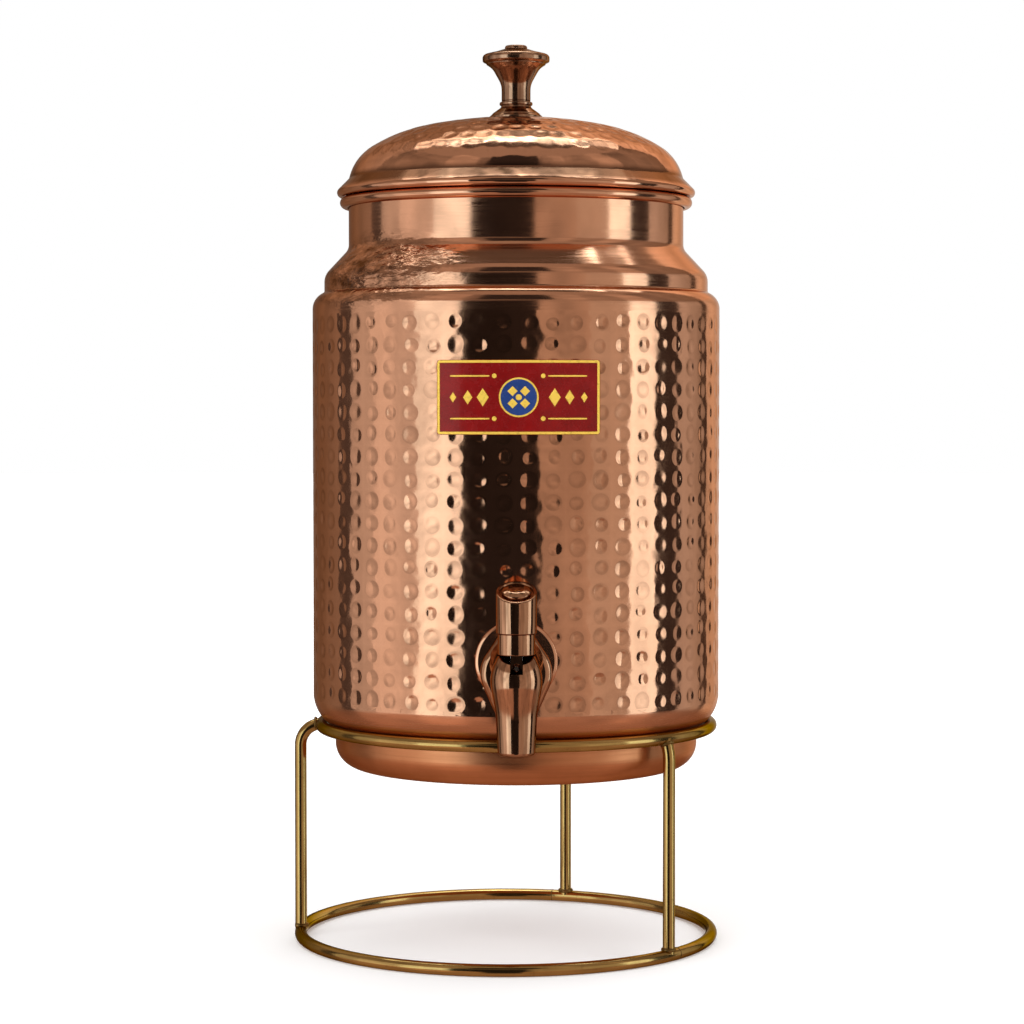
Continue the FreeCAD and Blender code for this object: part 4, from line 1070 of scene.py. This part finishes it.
WARM, TAN, UMBER, WHITE = (1.0, 0.75, 0.58), (1.0, 0.82, 0.67), (1.0, 0.78, 0.68), (1.0, 1.07, 1.03)
PALE, BLUSH, RUST = (1.0, 0.96, 0.88), (1.0, 0.88, 0.78), (1.0, 0.60, 0.42)
FULL = (-0.30, 0.66)  # heights between which a wall card shines fully
SOFT = 0.16  # height over which it fades
DEEP, HIGH, ROUND = -1.3, 2.3, 1.62  # lowest and highest edge and radius of the wall cards
WALLS = (  # name, start, end, strength, tone, share of the light below and above
    ("front flag", -30, 12, 0.020, UMBER, 0.44, 0.22),
    ("left soft box", -56, -30, 1.20, WHITE, 0.62, 0.46),
    ("left screen", -84, -56, 0.80, BLUSH, 0.46, 0.28),
    ("left far screen", -102, -84, 0.52, BLUSH, 0.46, 0.28),
    ("left flag", -114, -102, 0.08, UMBER, 0.26, 0.22),
    ("left rear wall", -180, -114, 0.27, WARM, 0.26, 0.42),
    ("right wall", 12, 40, 0.44, WARM, 0.40, 0.42),
    ("right wall shade", 40, 64, 0.50, TAN, 0.40, 0.32),
    ("right strip box", 64, 82, 1.45, WHITE, 0.55, 0.46),
    ("right flag", 82, 100, 0.04, UMBER, 0.28, 0.22),
    ("right dim wall", 100, 125, 0.46, BLUSH, 0.30, 0.26),
    ("right edge flag", 125, 132, 0.08, UMBER, 0.28, 0.26),
    ("right rear wall", 132, 180, 0.84, BLUSH, 0.30, 0.95))
CANOPIES = (  # name, start, end, radius of its lower edge, height of its roof, strength, tone, range of its patches
    ("front canopy", -112, 112, 1.62, 3.0, 0.34, WARM, None),
    ("left canopy", -136, -112, 1.6, 2.98, 1.15, PALE, (0.20, 1.7)),
    ("right canopy", 112, 136, 1.6, 2.98, 1.10, PALE, (0.25, 1.6)),
    ("rear canopy", 136, 224, 1.62, 3.0, 1.25, PALE, (0.25, 1.7)))
SHEETS = (  # name, lowest and highest corner, strength, tone, range of its patches
    ("roof soft box", (-1.55, 0.18, 2.75), (1.45, 1.55, 2.75), 2.5, WHITE, (0.15, 1.5)),
    ("roof soft box centre", (-0.42, 0.14, 2.7), (0.50, 1.50, 2.7), 4.2, WHITE, (0.35, 1.3)),
    ("roof flag", (-0.90, -0.40, 2.6), (0.90, 0.12, 2.6), 0.10, WARM, (1.0, 1.0)))
LAMPS = (("key lamp", (-1.3, -1.5, 1.6), 1.4, 26), ("fill lamp", (1.5, -1.1, 1.4), 1.2, 14),
         ("top lamp", (0.2, 0.6, 2.0), 1.6, 16))


def glow(name, strength, tone, shares=None, patchy=None):
    """Light of a card: even, patchy, or a wall's, which fades to a share of its light below and above."""
    material = bpy.data.materials.new(name)
    material.use_nodes = True
    material.node_tree.nodes.clear()
    g = Nodes(material.node_tree)
    full = tuple(c * strength for c in tone)
    values, links = {"Color": (*full, 1), "Strength": 1.0}, {}
    if patchy:
        links["Strength"] = g.ramp(g.noise(3.4), 0.40, 0.60, *patchy)
    if shares:
        links["Color"] = full
        for limit, way, share, fade in zip(FULL, (-1, 1), shares, (RUST, WARM)):
            step = g.ramp(g.up(), limit, limit + way * SOFT, kind="SMOOTHSTEP")
            links["Color"] = g.mix(step, links["Color"], tuple(c * share for c in fade))
        links["Strength"] = g.ramp(g.noise(2.2, 2.0), 0.3, 0.7, 0.72, 1.22)
    light = g.add("ShaderNodeEmission", links, values)
    g.add("ShaderNodeOutputMaterial", {0: light.outputs[0]})
    return material


def hang(name, bm, material):
    """A studio card that is seen only in reflections."""
    mesh = to_mesh(name, bm)
    mesh.materials.append(material)
    made = put(name, mesh)
    made.visible_camera = made.visible_diffuse = made.visible_shadow = made.visible_transmission = False


def card(name, start, end, line, material):
    """A card curved round the object, from a line of (radius, height) points."""
    bm = bmesh.new()
    first = math.radians(start)
    verts = [bm.verts.new((r * math.sin(first), -r * math.cos(first), z)) for r, z in line]
    edges = [bm.edges.new(pair) for pair in zip(verts, verts[1:])]
    bmesh.ops.spin(bm, geom=verts + edges, axis=(0, 0, 1), cent=(0, 0, 0), dvec=(0, 0, 0),
                   angle=math.radians(end - start), steps=max(1, round((end - start) / 4)))
    hang(name, bm, material)


def sheet(name, low, high, material):
    """A flat card overhead."""
    bm = bmesh.new()
    for vert in bmesh.ops.create_grid(bm, x_segments=1, y_segments=1, size=0.5)["verts"]:
        vert.co = [a + (b - a) * (c + 0.5) for a, b, c in zip(low, high, vert.co)]
    hang(name, bm, material)


def lamp(name, place, size, energy):
    data = bpy.data.lights.new(name, "AREA")
    data.shape = "RECTANGLE"
    data.size = data.size_y = size
    data.energy = energy
    made = put(name, data)
    made.location = place
    made.rotation_euler = (Vector((0, 0, 0.2)) - Vector(place)).to_track_quat("-Z", "Y").to_euler()
    made.visible_glossy = False


def surroundings():
    """White world, dimmer as a light than as it is seen."""
    world = bpy.context.scene.world or bpy.data.worlds.new("studio")
    bpy.context.scene.world = world
    world.use_nodes = True
    world.node_tree.nodes.clear()
    g = Nodes(world.node_tree)
    path = g.add("ShaderNodeLightPath").outputs
    seen = g.math("MAXIMUM", path["Is Camera Ray"], path["Is Glossy Ray"])
    seen = g.math("MAXIMUM", seen, path["Is Transmission Ray"])
    back = g.add("ShaderNodeBackground", {"Strength": g.ramp(seen, 0.0, 1.0, 0.62, 1.0)}, {"Color": (1, 1, 1, 1)})
    g.add("ShaderNodeOutputWorld", {0: back.outputs[0]})


def floor():
    """Pale floor that brightens to white away from the object, so that it has no edge."""
    bm = bmesh.new()
    bmesh.ops.create_circle(bm, cap_ends=True, segments=64, radius=9.0)
    move(bm, bm.verts, (0, 0, -0.0002))
    g = Graph("pale floor", 0.6, metallic=0.0)
    g.set({"Base Color": (0.86, 0.86, 0.86, 1), "Specular IOR Level": 0.2, "Emission Color": (1, 1, 1, 1)})
    seen = g.add("ShaderNodeLightPath").outputs["Is Camera Ray"]
    away = g.add("ShaderNodeVectorMath", {0: g.place}, operation="LENGTH").outputs["Value"]
    lift = g.math("MULTIPLY", seen, g.ramp(away, 0.3, 2.2, 0.20, 1.0))
    g.tree.links.new(lift, g.shader.inputs["Emission Strength"])
    mesh = to_mesh("floor", bm)
    mesh.materials.append(g.material)
    made = put("floor", mesh)
    made.visible_glossy = False


def stage(settings):
    surroundings()
    floor()
    for name, start, end, strength, tone, below, above in WALLS:
        card(name, start, end, ((ROUND, DEEP), (ROUND, HIGH)), glow(name, strength, tone, (below, above)))
    for name, start, end, radius, top, strength, tone, patchy in CANOPIES:
        line = ((radius, HIGH), (1.0, top), (0.0001, top))
        card(name, start, end, line, glow(name, strength, tone, patchy=patchy))
    card("ground", 0, 360, ((ROUND, DEEP), (0.0001, DEEP)), glow("ground", 0.36, RUST))
    card("upper flag", -22, 21, ((1.5, 0.88), (1.5, 2.25)), glow("upper flag", 0.03, UMBER))
    card("lower flag", -13, 9, ((1.5, -1.20), (1.5, -0.30)), glow("lower flag", 0.03, UMBER))
    for name, low, high, strength, tone, patchy in SHEETS:
        sheet(name, low, high, glow(name, strength, tone, patchy=patchy))
    for values in LAMPS:
        lamp(*values)
    data = bpy.data.cameras.new("camera")
    data.lens = settings.lens
    data.sensor_width = 36.0
    data.clip_start, data.clip_end = 0.05, 30.0
    camera = put("camera", data)
    camera.location = (-settings.aside, -settings.distance, settings.height)
    camera.rotation_euler = (math.radians(90) - settings.dip, 0, 0)
    bpy.context.scene.camera = camera
    bpy.context.scene.view_settings.view_transform = "Standard"


# Operators

class DISPENSER_OT_materials(bpy.types.Operator):
    """Make the metals, the enamels and the seals' silicone"""
    bl_idname = "dispenser.materials"
    bl_label = "Materials"

    def execute(self, context):
        build_materials(context.scene.dispenser_metal)
        dress_nodes()
        return {"FINISHED"}


class DISPENSER_OT_jar(bpy.types.Operator):
    """Spin and hammer the jar, with its base pan and the wire in its rim"""
    bl_idname = "dispenser.jar"
    bl_label = "Jar"

    def execute(self, context):
        jar_wall(context.scene.dispenser_hammer)
        base_pan()
        rim_wire()
        return {"FINISHED"}


class DISPENSER_OT_lid(bpy.types.Operator):
    """Make the hammered dome, its inner collar and the knob"""
    bl_idname = "dispenser.lid"
    bl_label = "Lid"

    def execute(self, context):
        dome(context.scene.dispenser_hammer)
        collar()
        knob()
        return {"FINISHED"}


class DISPENSER_OT_label(bpy.types.Operator):
    """Make the enamelled label plate, bare of words"""
    bl_idname = "dispenser.label"
    bl_label = "Label plate"

    def execute(self, context):
        label_plate()
        return {"FINISHED"}


class DISPENSER_OT_stand(bpy.types.Operator):
    """Bend the stand's wires and braze them"""
    bl_idname = "dispenser.stand"
    bl_label = "Stand"

    def execute(self, context):
        stand()
        return {"FINISHED"}


class DISPENSER_OT_tap(bpy.types.Operator):
    """Make the tap's bulb, hub, spring, rosette, handle and button"""
    bl_idname = "dispenser.tap"
    bl_label = "Tap"

    def execute(self, context):
        tap_body()
        spring()
        rosette()
        handle()
        return {"FINISHED"}


class DISPENSER_OT_stage(bpy.types.Operator):
    """Set up the floor, the studio cards, the lamps and the camera"""
    bl_idname = "dispenser.stage"
    bl_label = "Stage"

    def execute(self, context):
        stage(context.scene.dispenser_stage)
        return {"FINISHED"}


class DISPENSER_PT_panel(bpy.types.Panel):
    """Builds the dispenser's pieces"""
    bl_idname = "DISPENSER_PT_panel"
    bl_label = "Copper dispenser"
    bl_space_type = "VIEW_3D"
    bl_region_type = "UI"
    bl_category = "Dispenser"

    def draw(self, context):
        for group in GROUPS:
            box = self.layout.box()
            settings = getattr(context.scene, group)
            for name in settings.__annotations__:
                box.prop(settings, name)
        for operator in OPERATORS:
            self.layout.operator(operator.bl_idname)


GROUPS = {"dispenser_hammer": HammerSettings, "dispenser_metal": MetalSettings, "dispenser_stage": StageSettings}
OPERATORS = (DISPENSER_OT_materials, DISPENSER_OT_jar, DISPENSER_OT_lid, DISPENSER_OT_label, DISPENSER_OT_stand,
             DISPENSER_OT_tap, DISPENSER_OT_stage)


def register():
    for kind in (*GROUPS.values(), *OPERATORS, DISPENSER_PT_panel):
        bpy.utils.register_class(kind)
    for name, kind in GROUPS.items():
        setattr(bpy.types.Scene, name, PointerProperty(type=kind))


def unregister():
    for name in GROUPS:
        delattr(bpy.types.Scene, name)
    for kind in (DISPENSER_PT_panel, *OPERATORS, *GROUPS.values()):
        bpy.utils.unregister_class(kind)


def main():
    register()
    bpy.ops.dispenser.materials()
    bpy.ops.dispenser.jar()
    bpy.ops.dispenser.lid()
    bpy.ops.dispenser.label()
    bpy.ops.dispenser.stand()
    bpy.ops.dispenser.tap()
    bpy.ops.dispenser.stage()
    bpy.context.view_layer.update()


if __name__ == "__main__":
    main()
